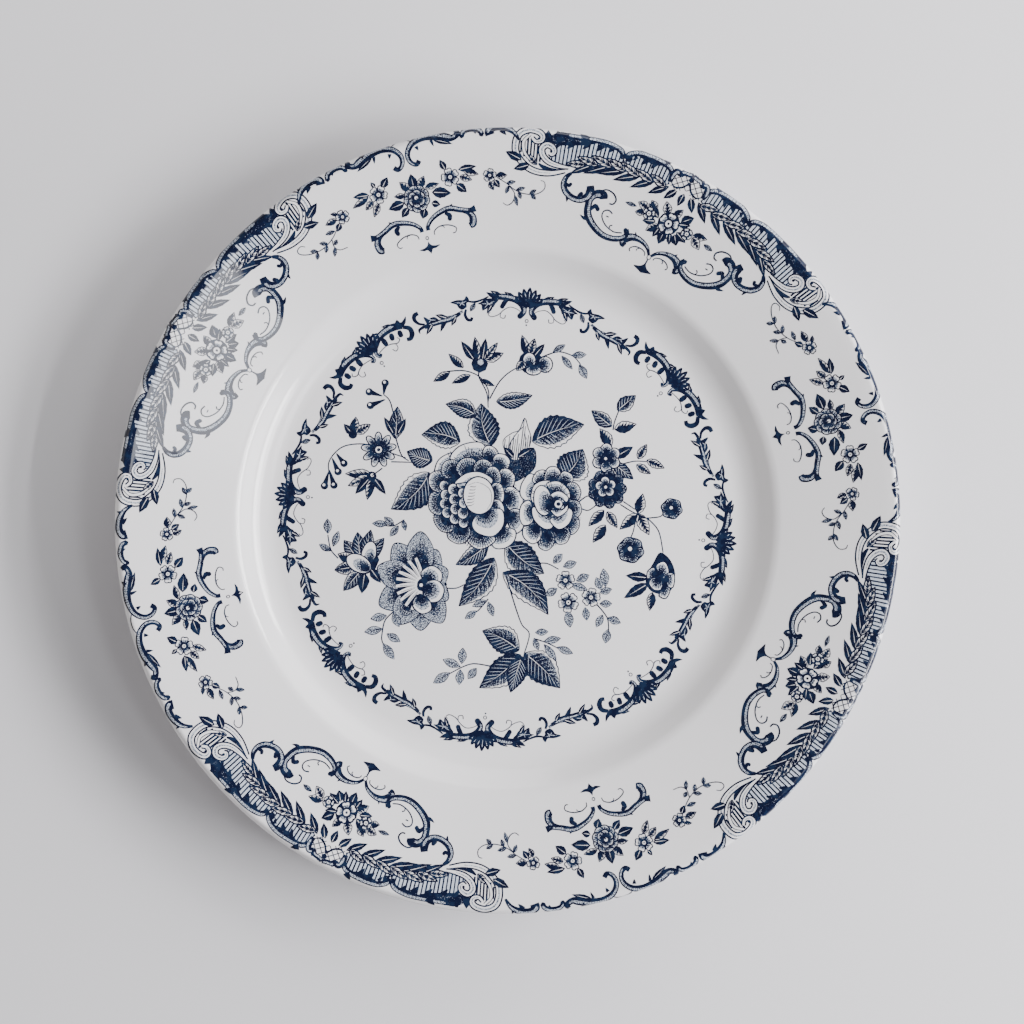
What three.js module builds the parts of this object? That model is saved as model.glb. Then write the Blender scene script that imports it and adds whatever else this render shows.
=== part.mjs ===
// A glazed earthenware dinner plate: a flat well, a curved bouge, a wide rising rim with a
// rounded lip, and a foot ring under the well. The whole plate is one fired piece, so it is
// one body of revolution about +Z. Units are millimetres. The foot ring stands on z = 0 and
// the origin is its centre.
import * as THREE from "three";

// Overall sizes.
const plateDiameter = 266;
const plateHeight = 23;

// The well and the bouge, the curved wall that lifts the rim out of the well: a concave arc,
// a straight wall and a convex arc.
const wellDiameter = 155;
const bougeSlope = THREE.MathUtils.degToRad(36);
const bougeLowerRadius = 16;
const bougeWallLength = 4;
const bougeUpperRadius = 10;

// The body's thickness at the lip and under the well.
const rimThickness = 3.8;
const wellThickness = 4.6;

// The foot ring. It is set in from the edge of the well, to the root of its outer side.
const footInset = 2;
const footHeight = 2.4;
const footWidth = 3.4;
const footFlare = 1.6;
const footCorner = 0.7;

// How finely round shapes are drawn.
const segmentsAround = 72;
const lipSteps = 4;
const bougeSteps = 6;
const cornerSteps = 3;

const glazeColour = 0xe9e8ea;
const glazeRoughness = 0.12;

const quarterTurn = Math.PI / 2;
const wellFloor = footHeight + wellThickness;
const wellRadius = wellDiameter / 2;
const lipRadius = rimThickness / 2;

// A point of the profile: its distance from the axis, and its height.
const point = (radius, height) => new THREE.Vector2(radius, height);

// The point at a distance from another, in a direction given as an angle above the outward
// horizontal.
const reach = (from, distance, angle) =>
  point(from.x + distance * Math.cos(angle), from.y + distance * Math.sin(angle));

// Points along an arc about a centre, between two angles, both ends included.
function arc(centre, radius, from, to, steps) {
  const points = [];
  for (let i = 0; i <= steps; i += 1) {
    points.push(reach(centre, radius, THREE.MathUtils.lerp(from, to, i / steps)));
  }
  return points;
}

const lipCentre = point(plateDiameter / 2 - lipRadius, plateHeight - lipRadius);

// The centres of the bouge's two arcs, and the two ends of its straight wall between them.
const lowerCentre = point(wellRadius, wellFloor + bougeLowerRadius);
const wallStart = reach(lowerCentre, bougeLowerRadius, bougeSlope - quarterTurn);
const wallEnd = reach(wallStart, bougeWallLength, bougeSlope);
const upperCentre = reach(wallEnd, bougeUpperRadius, bougeSlope - quarterTurn);

// The rim runs straight from the convex arc to the lip, along the line that touches both.
const toLip = lipCentre.clone().sub(upperCentre);
const rimSlope = toLip.angle() - Math.asin((bougeUpperRadius - lipRadius) / toLip.length());

// The eating surface, from the edge of the well to where the lip starts.
function eatingSurface() {
  const lower = arc(lowerCentre, bougeLowerRadius, -quarterTurn, bougeSlope - quarterTurn, bougeSteps);
  const upper = arc(
    upperCentre,
    bougeUpperRadius,
    bougeSlope + quarterTurn,
    rimSlope + quarterTurn,
    bougeSteps,
  );
  return [...lower, ...upper, reach(lipCentre, lipRadius, rimSlope + quarterTurn)];
}

// The underside follows the eating surface at the body's thickness, which goes evenly from
// the well's to the rim's.
function underside(surface) {
  const outermost = surface.at(-1).x;
  return surface.map((at, i) => {
    const before = surface[Math.max(i - 1, 0)];
    const after = surface[Math.min(i + 1, surface.length - 1)];
    const slope = i === 0 ? 0 : after.clone().sub(before).angle();
    const share = (at.x - wellRadius) / (outermost - wellRadius);
    return reach(at, THREE.MathUtils.lerp(wellThickness, rimThickness, share), slope - quarterTurn);
  });
}

// The foot ring from its inner root to its outer root: flared sides, rounded corners and a
// flat face to stand on.
function footRing() {
  const outerRoot = wellRadius - footInset;
  const outer = outerRoot - footFlare;
  const inner = outer - footWidth;
  const innerCorner = point(inner + footCorner, footCorner);
  const outerCorner = point(outer - footCorner, footCorner);
  return [
    point(inner - footFlare, footHeight),
    ...arc(innerCorner, footCorner, -2 * quarterTurn, -quarterTurn, cornerSteps),
    ...arc(outerCorner, footCorner, -quarterTurn, 0, cornerSteps),
    point(outerRoot, footHeight),
  ];
}

// The lip, from the underside of the rim round to its upper face.
function lip() {
  const below = arc(lipCentre, lipRadius, rimSlope - quarterTurn, 0, lipSteps);
  const above = arc(lipCentre, lipRadius, 0, quarterTurn, lipSteps);
  return [...below, ...above.slice(1)];
}

// The closed outline, from the underside's centre outwards, over the lip and back to the
// well's centre. It runs this way round so that the revolved faces point outwards.
function plateOutline() {
  const surface = eatingSurface();
  return [
    point(0, footHeight),
    ...footRing(),
    ...underside(surface).slice(0, -1),
    ...lip(),
    ...surface.reverse(),
    point(0, wellFloor),
  ];
}

function plateBody() {
  const geometry = new THREE.LatheGeometry(plateOutline(), segmentsAround);
  geometry.rotateX(quarterTurn);
  const glaze = new THREE.MeshStandardMaterial({
    color: glazeColour,
    roughness: glazeRoughness,
    metalness: 0,
  });
  const body = new THREE.Mesh(geometry, glaze);
  body.name = "plate_body";
  return body;
}

const plate = new THREE.Group();
plate.add(plateBody());

export default plate;
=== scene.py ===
import math
import random
from collections import Counter

import bmesh
import bpy
import numpy as np
from bpy.props import FloatProperty, FloatVectorProperty, IntProperty, PointerProperty
from mathutils import Matrix, Vector
from mathutils.geometry import delaunay_2d_cdt, tessellate_polygon


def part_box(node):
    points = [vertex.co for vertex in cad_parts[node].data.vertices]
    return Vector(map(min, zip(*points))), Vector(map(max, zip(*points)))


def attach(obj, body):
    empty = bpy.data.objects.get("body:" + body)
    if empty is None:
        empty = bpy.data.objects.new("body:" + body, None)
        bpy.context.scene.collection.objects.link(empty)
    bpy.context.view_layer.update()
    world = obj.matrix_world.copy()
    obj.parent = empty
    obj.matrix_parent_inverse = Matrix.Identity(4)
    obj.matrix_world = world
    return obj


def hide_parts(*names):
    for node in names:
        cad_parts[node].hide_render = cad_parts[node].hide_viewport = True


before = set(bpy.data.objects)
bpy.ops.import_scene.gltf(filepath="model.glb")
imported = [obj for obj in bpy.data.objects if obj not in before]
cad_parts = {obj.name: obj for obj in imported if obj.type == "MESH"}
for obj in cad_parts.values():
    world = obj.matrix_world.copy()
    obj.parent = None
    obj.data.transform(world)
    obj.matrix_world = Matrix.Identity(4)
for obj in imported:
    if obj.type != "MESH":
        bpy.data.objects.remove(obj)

bl_info = {
    "name": "Blue printed dinner plate",
    "version": (1, 0, 0),
    "blender": (4, 5, 0),
    "location": "View3D > Sidebar > Plate",
    "description": "A glazed earthenware dinner plate with a blue engraved print under its glaze",
    "category": "Add Mesh",
}

MM = 0.001
BODY = "root"
QUARTER = math.pi / 2
LOW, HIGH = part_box("plate_body")
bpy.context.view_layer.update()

# How much ink a printed shape holds. A bare shape wipes away what lies under it.
DEEP, MID, PALE, WASH, BARE = 1.0, 0.62, 0.36, 0.14, 0.0

# A printed shape smaller than this, in square millimetres, is left out.
SPECK = 0.0005

# How much further off the body each layer of print lies, as a share of the first layer's lift.
LAYER_STEP = 0.15

# The longest stretch of print that may run straight over the lip's curve.
LIP_STEP = 0.5 * MM

# The rim's motifs are drawn unrolled: across is the distance along an arc of this radius, and
# up is the distance from the plate's axis. The wreath's are drawn the same way.
BORDER_ARC = 123.7
SPRAY_ARC = 118.8
WREATH_ARC = 71.3


# ---------------------------------------------------------------------------- settings


class PlateShape(bpy.types.PropertyGroup):
    """Sizes of the fired body. The overall ones come from the frame."""

    radius: FloatProperty(name="Radius", description="From the axis to the lip", default=HIGH.x, unit="LENGTH")
    height: FloatProperty(name="Height", description="From the foot to the lip", default=HIGH.z, unit="LENGTH")
    well_radius: FloatProperty(
        name="Well radius", description="Flat part of the well", default=77.5 * MM, unit="LENGTH"
    )
    well_thickness: FloatProperty(
        name="Well thickness", description="Body under the well", default=4.6 * MM, unit="LENGTH"
    )
    rim_thickness: FloatProperty(
        name="Rim thickness", description="Body at the lip", default=3.8 * MM, unit="LENGTH"
    )
    bouge_slope: FloatProperty(
        name="Bouge slope", description="Steepness of the wall round the well",
        default=math.radians(36), subtype="ANGLE",
    )
    bouge_lower: FloatProperty(
        name="Lower bouge radius", description="Hollow curve out of the well", default=16 * MM, unit="LENGTH"
    )
    bouge_wall: FloatProperty(
        name="Bouge wall", description="Straight wall between the two curves", default=4 * MM, unit="LENGTH"
    )
    bouge_upper: FloatProperty(
        name="Upper bouge radius", description="Round curve into the rim", default=10 * MM, unit="LENGTH"
    )
    foot_inset: FloatProperty(
        name="Foot inset", description="From the well's edge to the foot's root", default=2 * MM, unit="LENGTH"
    )
    foot_height: FloatProperty(
        name="Foot height", description="Height of the foot ring", default=2.4 * MM, unit="LENGTH"
    )
    foot_width: FloatProperty(
        name="Foot width", description="Width of the foot ring at its face", default=3.4 * MM, unit="LENGTH"
    )
    foot_flare: FloatProperty(
        name="Foot flare", description="How far each side of the foot slopes out", default=1.6 * MM, unit="LENGTH"
    )
    foot_corner: FloatProperty(
        name="Foot corner", description="Rounding of the foot's edges", default=0.7 * MM, unit="LENGTH"
    )
    segments: IntProperty(name="Segments", description="Facets round the plate", default=288, min=48)


class PlateFinish(bpy.types.PropertyGroup):
    """Colours of the glaze, the bare clay and the ink."""

    glaze: FloatVectorProperty(
        name="Glaze", description="White body seen through clear glaze", subtype="COLOR", size=3,
        default=(0.715, 0.735, 0.785),
    )
    bare_clay: FloatVectorProperty(
        name="Bare clay", description="Fired body where the glaze is wiped off", subtype="COLOR", size=3,
        default=(0.66, 0.60, 0.50),
    )
    ink_deep: FloatVectorProperty(
        name="Deep ink", description="Cobalt where the print is solid", subtype="COLOR", size=3,
        default=(0.0015, 0.0045, 0.024),
    )
    ink_pale: FloatVectorProperty(
        name="Pale ink", description="Colour of the glaze between the dots of a toned area", subtype="COLOR", size=3,
        default=(0.52, 0.57, 0.66),
    )
    ink_thin: FloatVectorProperty(
        name="Thin ink", description="Colour of the ink where a dark area took less of it", subtype="COLOR", size=3,
        default=(0.006, 0.016, 0.046),
    )
    floor: FloatVectorProperty(
        name="Floor", description="Pale studio floor", subtype="COLOR", size=3, default=(0.74, 0.735, 0.765)
    )
    ink_lift: FloatProperty(
        name="Ink lift", description="Height of the print above the body", default=0.035 * MM, unit="LENGTH"
    )


# ---------------------------------------------------------------------------- the profile


def reach(start, distance, angle):
    """The point at a distance from another, at an angle above the outward horizontal."""
    return (start[0] + distance * math.cos(angle), start[1] + distance * math.sin(angle))


def arc(centre, radius, start, end, steps):
    """Points along an arc, both ends included."""
    return [reach(centre, radius, start + (end - start) * i / steps) for i in range(steps + 1)]


def eating_surface(shape):
    """The upper face from the well's edge to the start of the lip, the lip's centre and the rim's slope."""
    floor = shape.foot_height + shape.well_thickness
    lip_radius = shape.rim_thickness / 2
    lip_centre = (shape.radius - lip_radius, shape.height - lip_radius)
    lower_centre = (shape.well_radius, floor + shape.bouge_lower)
    wall_start = reach(lower_centre, shape.bouge_lower, shape.bouge_slope - QUARTER)
    wall_end = reach(wall_start, shape.bouge_wall, shape.bouge_slope)
    upper_centre = reach(wall_end, shape.bouge_upper, shape.bouge_slope - QUARTER)
    across, up = lip_centre[0] - upper_centre[0], lip_centre[1] - upper_centre[1]
    slope = math.atan2(up, across) - math.asin((shape.bouge_upper - lip_radius) / math.hypot(across, up))
    lower = arc(lower_centre, shape.bouge_lower, -QUARTER, shape.bouge_slope - QUARTER, 16)
    upper = arc(upper_centre, shape.bouge_upper, shape.bouge_slope + QUARTER, slope + QUARTER, 12)
    lip_start = reach(lip_centre, lip_radius, slope + QUARTER)
    rim = [tuple(np.array(upper[-1]) + (np.array(lip_start) - upper[-1]) * i / 12) for i in range(1, 13)]
    return lower + upper + rim, lip_centre, slope


def underside(shape, surface):
    """The lower face, parallel to the upper one at the body's thickness."""
    outermost = surface[-1][0]
    below = []
    for i, at in enumerate(surface):
        before, after = surface[max(i - 1, 0)], surface[min(i + 1, len(surface) - 1)]
        angle = math.atan2(after[1] - before[1], after[0] - before[0]) if i else 0.0
        share = (at[0] - shape.well_radius) / (outermost - shape.well_radius)
        thickness = shape.well_thickness + (shape.rim_thickness - shape.well_thickness) * share
        below.append(reach(at, thickness, angle - QUARTER))
    return below


def foot_ring(shape):
    """The foot from its inner root to its outer root, with rounded edges and a flat face."""
    outer_root = shape.well_radius - shape.foot_inset
    outer = outer_root - shape.foot_flare
    inner = outer - shape.foot_width
    corner = shape.foot_corner
    return [
        (inner - shape.foot_flare, shape.foot_height),
        *arc((inner + corner, corner), corner, -2 * QUARTER, -QUARTER, 6),
        *arc((outer - corner, corner), corner, -QUARTER, 0, 6),
        (outer_root, shape.foot_height),
    ]


def plate_outline(shape):
    """The whole section, from the underside's centre round the lip to the well's centre."""
    surface, lip_centre, slope = eating_surface(shape)
    lip_radius = shape.rim_thickness / 2
    floor = shape.foot_height + shape.well_thickness
    foot = foot_ring(shape)
    under = [(foot[0][0] * i / 6, shape.foot_height) for i in range(6)]
    well = [(shape.well_radius * i / 10, floor) for i in range(9, -1, -1)]
    lip = arc(lip_centre, lip_radius, slope - QUARTER, slope + QUARTER, 16)
    return [*under, *foot, *underside(shape, surface)[:-1], *lip, *surface[:-1][::-1], *well]


class Seat:
    """Heights and slopes of the upper face, which the print is laid on."""

    def __init__(self, shape):
        surface, lip_centre, slope = eating_surface(shape)
        lip = arc(lip_centre, shape.rim_thickness / 2, slope + QUARTER, 0.0, 12)
        points = [(0.0, surface[0][1]), *surface, *lip[1:]]
        self.radii = np.array([p[0] for p in points])
        self.heights = np.array([p[1] for p in points])
        self.slopes = np.gradient(self.heights, self.radii)
        self.along = np.concatenate([[0.0], np.cumsum(np.hypot(np.diff(self.radii), np.diff(self.heights)))])
        self.lip_start = surface[-1][0] - LIP_STEP

    def divide_at_lip(self, mesh):
        """Cuts the print's long edges where the lip curves away under them."""
        work = bmesh.new()
        work.from_mesh(mesh)
        for _ in range(5):
            long_edges = []
            for edge in work.edges:
                radii = [math.hypot(v.co.x, v.co.y) for v in edge.verts]
                if max(radii) > self.lip_start:
                    places = np.interp(radii, self.radii, self.along)
                    if abs(places[0] - places[1]) > LIP_STEP:
                        long_edges.append(edge)
            if not long_edges:
                break
            bmesh.ops.subdivide_edges(work, edges=long_edges, cuts=1)
            bmesh.ops.triangulate(work, faces=[f for f in work.faces if len(f.verts) > 3])
        work.to_mesh(mesh)
        work.free()

    def lay(self, mesh, lift):
        """Moves a flat print onto the upper face and gives it that face's smooth normals."""
        self.divide_at_lip(mesh)
        flat = np.zeros(len(mesh.vertices) * 3)
        mesh.vertices.foreach_get("co", flat)
        points = flat.reshape(-1, 3)
        radius = np.hypot(points[:, 0], points[:, 1])
        inside = np.minimum(radius, self.radii[-1] - lift) / np.maximum(radius, 1e-9)
        points[:, :2] *= inside[:, None]
        radius *= inside
        points[:, 2] = np.interp(radius, self.radii, self.heights)
        slope = np.interp(radius, self.radii, self.slopes)
        outward = points[:, :2] / np.maximum(radius, 1e-9)[:, None]
        normals = np.column_stack([-slope[:, None] * outward, np.ones(len(points))])
        normals /= np.linalg.norm(normals, axis=1)[:, None]
        points += normals * lift
        mesh.vertices.foreach_set("co", points.ravel())
        mesh.shade_smooth()
        mesh.normals_split_custom_set_from_vertices(normals.tolist())


# ---------------------------------------------------------------------------- the engraver


def spline(points, closed=False, steps=5):
    """Points along a smooth curve through the given ones."""
    count = len(points)
    path = []
    for i in range(count if closed else count - 1):
        near = [points[(i + k) % count] if closed else points[min(max(i + k, 0), count - 1)] for k in (-1, 0, 1, 2)]
        for k in range(steps):
            t = k / steps
            path.append(
                tuple(
                    b + 0.5 * t * (c - a + t * (2 * a - 5 * b + 4 * c - d + t * (3 * b - a - 3 * c + d)))
                    for a, b, c, d in zip(*near)
                )
            )
    return path if closed else [*path, points[-1]]


def between(values, t):
    """A value part of the way along an evenly spaced list."""
    place = t * (len(values) - 1)
    i = min(int(place), len(values) - 2)
    return values[i] + (values[i + 1] - values[i]) * (place - i)


def convex(corners):
    """Whether a shape turns the same way at every corner."""
    turns = [(b - a).cross(c - b) for a, b, c in zip(corners, corners[1:] + corners[:1], corners[2:] + corners[:2])]
    return all(t > 0 for t in turns) or all(t < 0 for t in turns)


def crosses_itself(corners):
    """Whether two sides of a shape that don't meet at a corner cross."""
    sides = list(zip(corners, corners[1:] + corners[:1]))
    for i, (a, b) in enumerate(sides):
        for c, d in sides[i + 2 : len(sides) - (i == 0)]:
            if (b - a).cross(c - a) * (b - a).cross(d - a) <= 0 and (d - c).cross(a - c) * (d - c).cross(b - c) <= 0:
                return True
    return False


def leaf_frame(base, tip, bend):
    """Where a share of a leaf's length and a distance to its left lie, the rib being bowed."""
    length = math.dist(base, tip)
    along = ((tip[0] - base[0]) / length, (tip[1] - base[1]) / length)

    def at(share, off):
        off += bend * length * 4 * share * (1 - share)
        return (
            base[0] + along[0] * length * share - along[1] * off,
            base[1] + along[1] * length * share + along[0] * off,
        )

    return at


def rolled(arc_radius, side=1, turn=0.0, rise=0.0):
    """Rolls a drawing round the plate. With side -1 it is mirrored."""

    def place(across, up):
        angle = turn - side * across / arc_radius
        return (up + rise) * math.cos(angle), (up + rise) * math.sin(angle)

    return place


class Transfer:
    """A sheet of print, in millimetres seen from above. A later shape covers an earlier one."""

    def __init__(self, seed=1):
        self.corners = [Vector(corner) for corner in ((0, 0), (0.04, 0), (0, 0.04))]
        self.shapes = [[0, 1, 2]]
        self.sizes = [SPECK]
        self.depths = [BARE]
        self.place = lambda x, y: (x, y)
        self.chance = random.Random(seed)

    def lay(self, outline, depth):
        """One closed shape, holding that depth of ink."""
        placed = [Vector(self.place(x, y)) for x, y in outline]
        parts = [placed]
        if len(placed) == 4 and not convex(placed):
            parts = [placed[:3], [placed[0], *placed[2:]]]
        elif len(placed) > 4 and crosses_itself(placed):
            parts = [[placed[i] for i in t] for t in tessellate_polygon([[p.to_3d() for p in placed]])]
        for part in parts:
            area = sum(a.cross(b) for a, b in zip(part, part[1:] + part[:1])) / 2
            if abs(area) < SPECK:
                continue
            if area < 0:
                part = part[::-1]
            first = len(self.corners)
            self.corners += part
            self.shapes.append(list(range(first, first + len(part))))
            self.sizes.append(abs(area))
            self.depths.append(depth)

    def ribbon(self, path, widths, depth=DEEP):
        """A line along a path, of widths spaced evenly along it."""
        last = len(path) - 1
        sides = []
        for i, (x, y) in enumerate(path):
            before, after = path[max(i - 1, 0)], path[min(i + 1, last)]
            length = math.dist(before, after) or 1.0
            across = ((before[1] - after[1]) / length, (after[0] - before[0]) / length)
            half = between(widths, i / last) / 2
            sides.append(((x + across[0] * half, y + across[1] * half), (x - across[0] * half, y - across[1] * half)))
        for (a, b), (c, d) in zip(sides, sides[1:]):
            self.lay((a, b, d, c), depth)

    def stroke(self, points, widths, depth=DEEP, steps=5):
        """A smooth swelling line through a few points."""
        self.ribbon(spline(points, steps=steps), widths, depth)

    def patch(self, points, depth=BARE, edge=0.26, steps=4):
        """A smooth closed shape with a drawn edge. Gives its outline."""
        outline = spline(points, closed=True, steps=steps)
        self.lay(outline, depth)
        if edge:
            self.ribbon([*outline, outline[0]], (edge, edge * 1.3, edge * 0.8, edge))
        return outline

    def dot(self, centre, radius, depth=DEEP):
        """A round spot."""
        self.lay([reach(centre, radius, math.tau * i / 12) for i in range(12)], depth)

    def ring(self, centre, radius, width=0.3, core=BARE):
        """A small circle with a centre of its own."""
        self.dot(centre, radius)
        self.dot(centre, radius - width, core)

    def horn(self, base, tip, width, bend=0.0):
        """A dark tapering spur."""
        middle = ((base[0] + tip[0]) / 2 - (tip[1] - base[1]) * bend, (base[1] + tip[1]) / 2 + (tip[0] - base[0]) * bend)
        self.stroke((base, middle, tip), (width * 1.4, width, 0.1), steps=3)

    def lobe(self, points, width):
        """A dark bud that swells to a round end."""
        self.stroke(points, (width * 0.6, width * 1.25, width * 1.1), steps=4)
        self.dot(points[-1], width * 0.6)

    def scroll(self, points, widths, side=1, light=0.32, ticks=True):
        """An acanthus stem: a dark band with a light core that fine strokes cross."""
        widths = [w * 1.5 + 0.3 for w in widths]
        path = spline(points, steps=5)
        self.ribbon(path, widths)
        last = len(path) - 1
        core = []
        for i, (x, y) in enumerate(path):
            before, after = path[max(i - 1, 0)], path[min(i + 1, last)]
            length = math.dist(before, after) or 1.0
            shift = side * 0.13 * between(widths, i / last) / length
            core.append((x + (before[1] - after[1]) * shift, y + (after[0] - before[0]) * shift))
        start, end = last // 7, last - last // 7
        inner = [between(widths, i / last) * light for i in range(start, end + 1)]
        inner[0] = inner[-1] = 0.05
        self.ribbon(core[start : end + 1], inner, 0.42)
        if ticks:
            for i in range(start + 1, end, 1):
                half = between(widths, i / last) * 0.3
                before, after = core[i - 1], core[i + 1]
                length = math.dist(before, after) or 1.0
                across = ((before[1] - after[1]) / length, (after[0] - before[0]) / length)
                x, y = core[i]
                lean = 0.25 * half
                self.ribbon(
                    [(x - across[0] * half, y - across[1] * half), (x + across[0] * half + lean, y + across[1] * half)],
                    (0.14, 0.14),
                )

    def hatch(self, region, angle, pitch, width, depth=DEEP, shorten=0.0, waver=0.0):
        """Parallel lines across a region, each cut short by up to a share of its length."""
        cos, sin = math.cos(angle), math.sin(angle)
        turned = [(x * cos + y * sin, y * cos - x * sin) for x, y in region]
        low, high = min(v for _, v in turned), max(v for _, v in turned)
        edges = list(zip(turned, turned[1:] + turned[:1]))
        for row in range(int((high - low) / pitch) + 1):
            level = low + (row + 0.5) * pitch
            cuts = sorted(
                a[0] + (b[0] - a[0]) * (level - a[1]) / (b[1] - a[1])
                for a, b in edges
                if (a[1] > level) != (b[1] > level)
            )
            for start, end in zip(cuts[::2], cuts[1::2]):
                end -= (end - start) * shorten * self.chance.random()
                if end - start < 0.25:
                    continue
                swell = 1 + waver * (self.chance.random() - 0.5)
                ends = [(u * cos - level * sin, u * sin + level * cos) for u in (start, end)]
                self.ribbon(ends, (width * swell, width * swell * (1 - 0.5 * shorten)), depth)

    def rays(self, root, outline, reaches, width=0.18, depth=DEEP, start=0.1):
        """Fine lines that fan out from a root towards an outline, fading on the way."""
        for target in outline:
            share = start + (between(reaches, self.chance.random()) - start)
            begin = tuple(r + (t - r) * start for r, t in zip(root, target))
            end = tuple(r + (t - r) * share for r, t in zip(root, target))
            self.ribbon([begin, end], (width, 0.04), depth)

    def leaf(self, base, tip, breadth, bend=0.0, dark=1, teeth=5, veins=4, blade=BARE, edge=0.28, tone=0.58):
        """A leaf with a rib and veins. dark says which half is solid ink: 1 left of the way to
        the tip, -1 right, 2 both and 0 neither."""
        at = leaf_frame(base, tip, bend)
        large = breadth > 2

        def half_breadth(share):
            return breadth * math.sin(math.pi * share**0.8)

        rib = [at(i / 10, 0.0) for i in range(11)]
        for side in (1, -1):
            edge_line = [base]
            steps = max(teeth, 2) * 3
            for i in range(steps + 1):
                share = 0.04 + 0.93 * i / steps
                notch = (0.96, 1.0, 1.06)[i % 3] if teeth and share > 0.15 else 1.0
                edge_line.append(at(share, side * half_breadth(share) * notch))
            edge_line.append(tip)
            inked = dark in (side, 2)
            self.lay([*edge_line, *rib[-2:0:-1]], (0.9 if large else DEEP) if inked else blade)
            if large and inked:
                self.ribbon(edge_line, (edge, edge * 1.4, edge))
            if large and not inked:
                inner = [at(i / 12, side * half_breadth(i / 12) * 0.76) for i in range(1, 12)]
                self.lay([base, *inner, tip, *rib[-2:0:-1]], tone)
            for i in range(veins if large or not inked else 0):
                share = 0.1 + 0.7 * i / veins
                out = min(share + 0.22, 0.96)
                vein = (at(share, 0.0), at(share + 0.1, side * half_breadth(out) * 0.4), at(out, side * half_breadth(out) * 0.84))
                if inked:
                    self.stroke(vein, (0.06, 0.14, 0.04), WASH, steps=3)
                    continue
                self.stroke(vein, (0.3, 0.22, 0.12), steps=3)
                lines = 4 if large else 3
                for k in range(1, lines):
                    foot = share + 0.7 / veins * k / lines
                    stop = min(foot + 0.13, 0.97)
                    out_to = 0.5 + 0.4 * self.chance.random()
                    self.ribbon([at(foot, 0), at((foot + stop) / 2, side * half_breadth(stop) * out_to * 0.5), at(stop, side * half_breadth(stop) * out_to)], (0.4, 0.32, 0.12))
            if not inked:
                self.ribbon(edge_line, (edge, edge * 1.3, edge))
        self.ribbon(rib, (0.4, 0.3, 0.1), DEEP)
        if large or dark == 2:
            self.ribbon(rib[1:9], (0.22, 0.18, 0.04), BARE)

    def leaflet(self, base, tip, breadth, tone=0.85, bend=0.0):
        """A small leaf of a sprig, drawn in fine lines."""
        at = leaf_frame(base, tip, bend)
        sides = [[at(i / 6, side * breadth * math.sin(math.pi * i / 6)) for i in range(1, 6)] for side in (1, -1)]
        self.lay([base, *sides[0], tip, *sides[1][::-1]], 0.46)
        for i in range(1, 6):
            for side in (1, -1):
                out = breadth * math.sin(math.pi * (i + 0.5) / 6) * (0.9 if side > 0 else 0.55)
                self.ribbon([at(i / 7, 0), at(min(i / 7 + 0.16, 0.95), side * out)], (0.3, 0.18), tone)
        self.ribbon([base, *sides[0], tip], (0.24, 0.36, 0.24), tone)
        self.ribbon([base, *sides[1], tip], (0.2, 0.3, 0.2), tone)
        self.ribbon([at(i / 4, 0) for i in range(4)], (0.3, 0.2), tone)

    def flower(self, centre, radius, petals=5, turn=0.0, heart=0.26, tone=DEEP, fill=BARE):
        """An open flower seen from the front."""
        wide = math.tau / petals
        self.dot(centre, radius * 0.78, tone)
        for k in range(petals):
            angle = turn + wide * k
            outline = [
                reach(centre, radius * share, angle + wide * off)
                for share, off in ((0.22, 0), (0.58, -0.4), (0.92, -0.33), (0.99, -0.12), (0.92, 0.02), (1.0, 0.16), (0.9, 0.36), (0.56, 0.4))
            ]
            path = spline(outline, closed=True, steps=3)
            self.lay(path, fill)
            self.lay([tuple(c + (p - c) * 0.72 for c, p in zip(centre, point)) for point in path], 0.46)
            self.ribbon([*path, path[0]], (0.28, 0.38, 0.28), tone)
            for off in (-0.22, -0.08, 0.06, 0.2):
                self.ribbon(
                    [reach(centre, radius * 0.28, angle + wide * off), reach(centre, radius * (0.55 + 0.15 * self.chance.random()), angle + wide * off)],
                    (0.3, 0.08),
                    tone,
                )
        self.dot(centre, radius * heart * 1.25, tone)
        self.dot(centre, radius * heart * 0.8, BARE)
        self.dot(centre, radius * heart * 0.3, tone)

    def mesh(self, name):
        """The sheet as a flat mesh of what stays inked, each face with its depth of ink."""
        corners, _, faces, _, _, owners = delaunay_2d_cdt(self.corners, [], self.shapes, 1, 0.001, True)
        areas = [abs((corners[b] - corners[a]).cross(corners[c] - corners[a])) / 2 for a, b, c in faces]
        covered = Counter()
        for owner, area in zip(owners, areas):
            for shape in owner:
                covered[shape] += area
        spilled = {i for i, area in covered.items() if area > 1.5 * self.sizes[i] + 0.2}
        depths = [self.depths[max(set(owner) - spilled, default=0)] if owner else BARE for owner in owners]
        kept = [(face, depth) for face, depth in zip(faces, depths) if depth > BARE]
        used = sorted({i for face, _ in kept for i in face})
        order = {old: new for new, old in enumerate(used)}
        mesh = bpy.data.meshes.new(name)
        mesh.from_pydata(
            [(corners[i].x * MM, corners[i].y * MM, 0.0) for i in used],
            [],
            [[order[i] for i in face] for face, _ in kept],
        )
        ink = mesh.attributes.new("ink_depth", "FLOAT", "FACE")
        ink.data.foreach_set("value", [depth for _, depth in kept])
        return mesh


# ---------------------------------------------------------------------------- rim motifs


def on_both_sides(sheet, arc_radius, draw, rise=0.0):
    """Draws half a motif and its mirror image about the motif's axis."""
    for side in (1, -1):
        sheet.place = rolled(arc_radius, side, rise=rise)
        draw(sheet)


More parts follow.
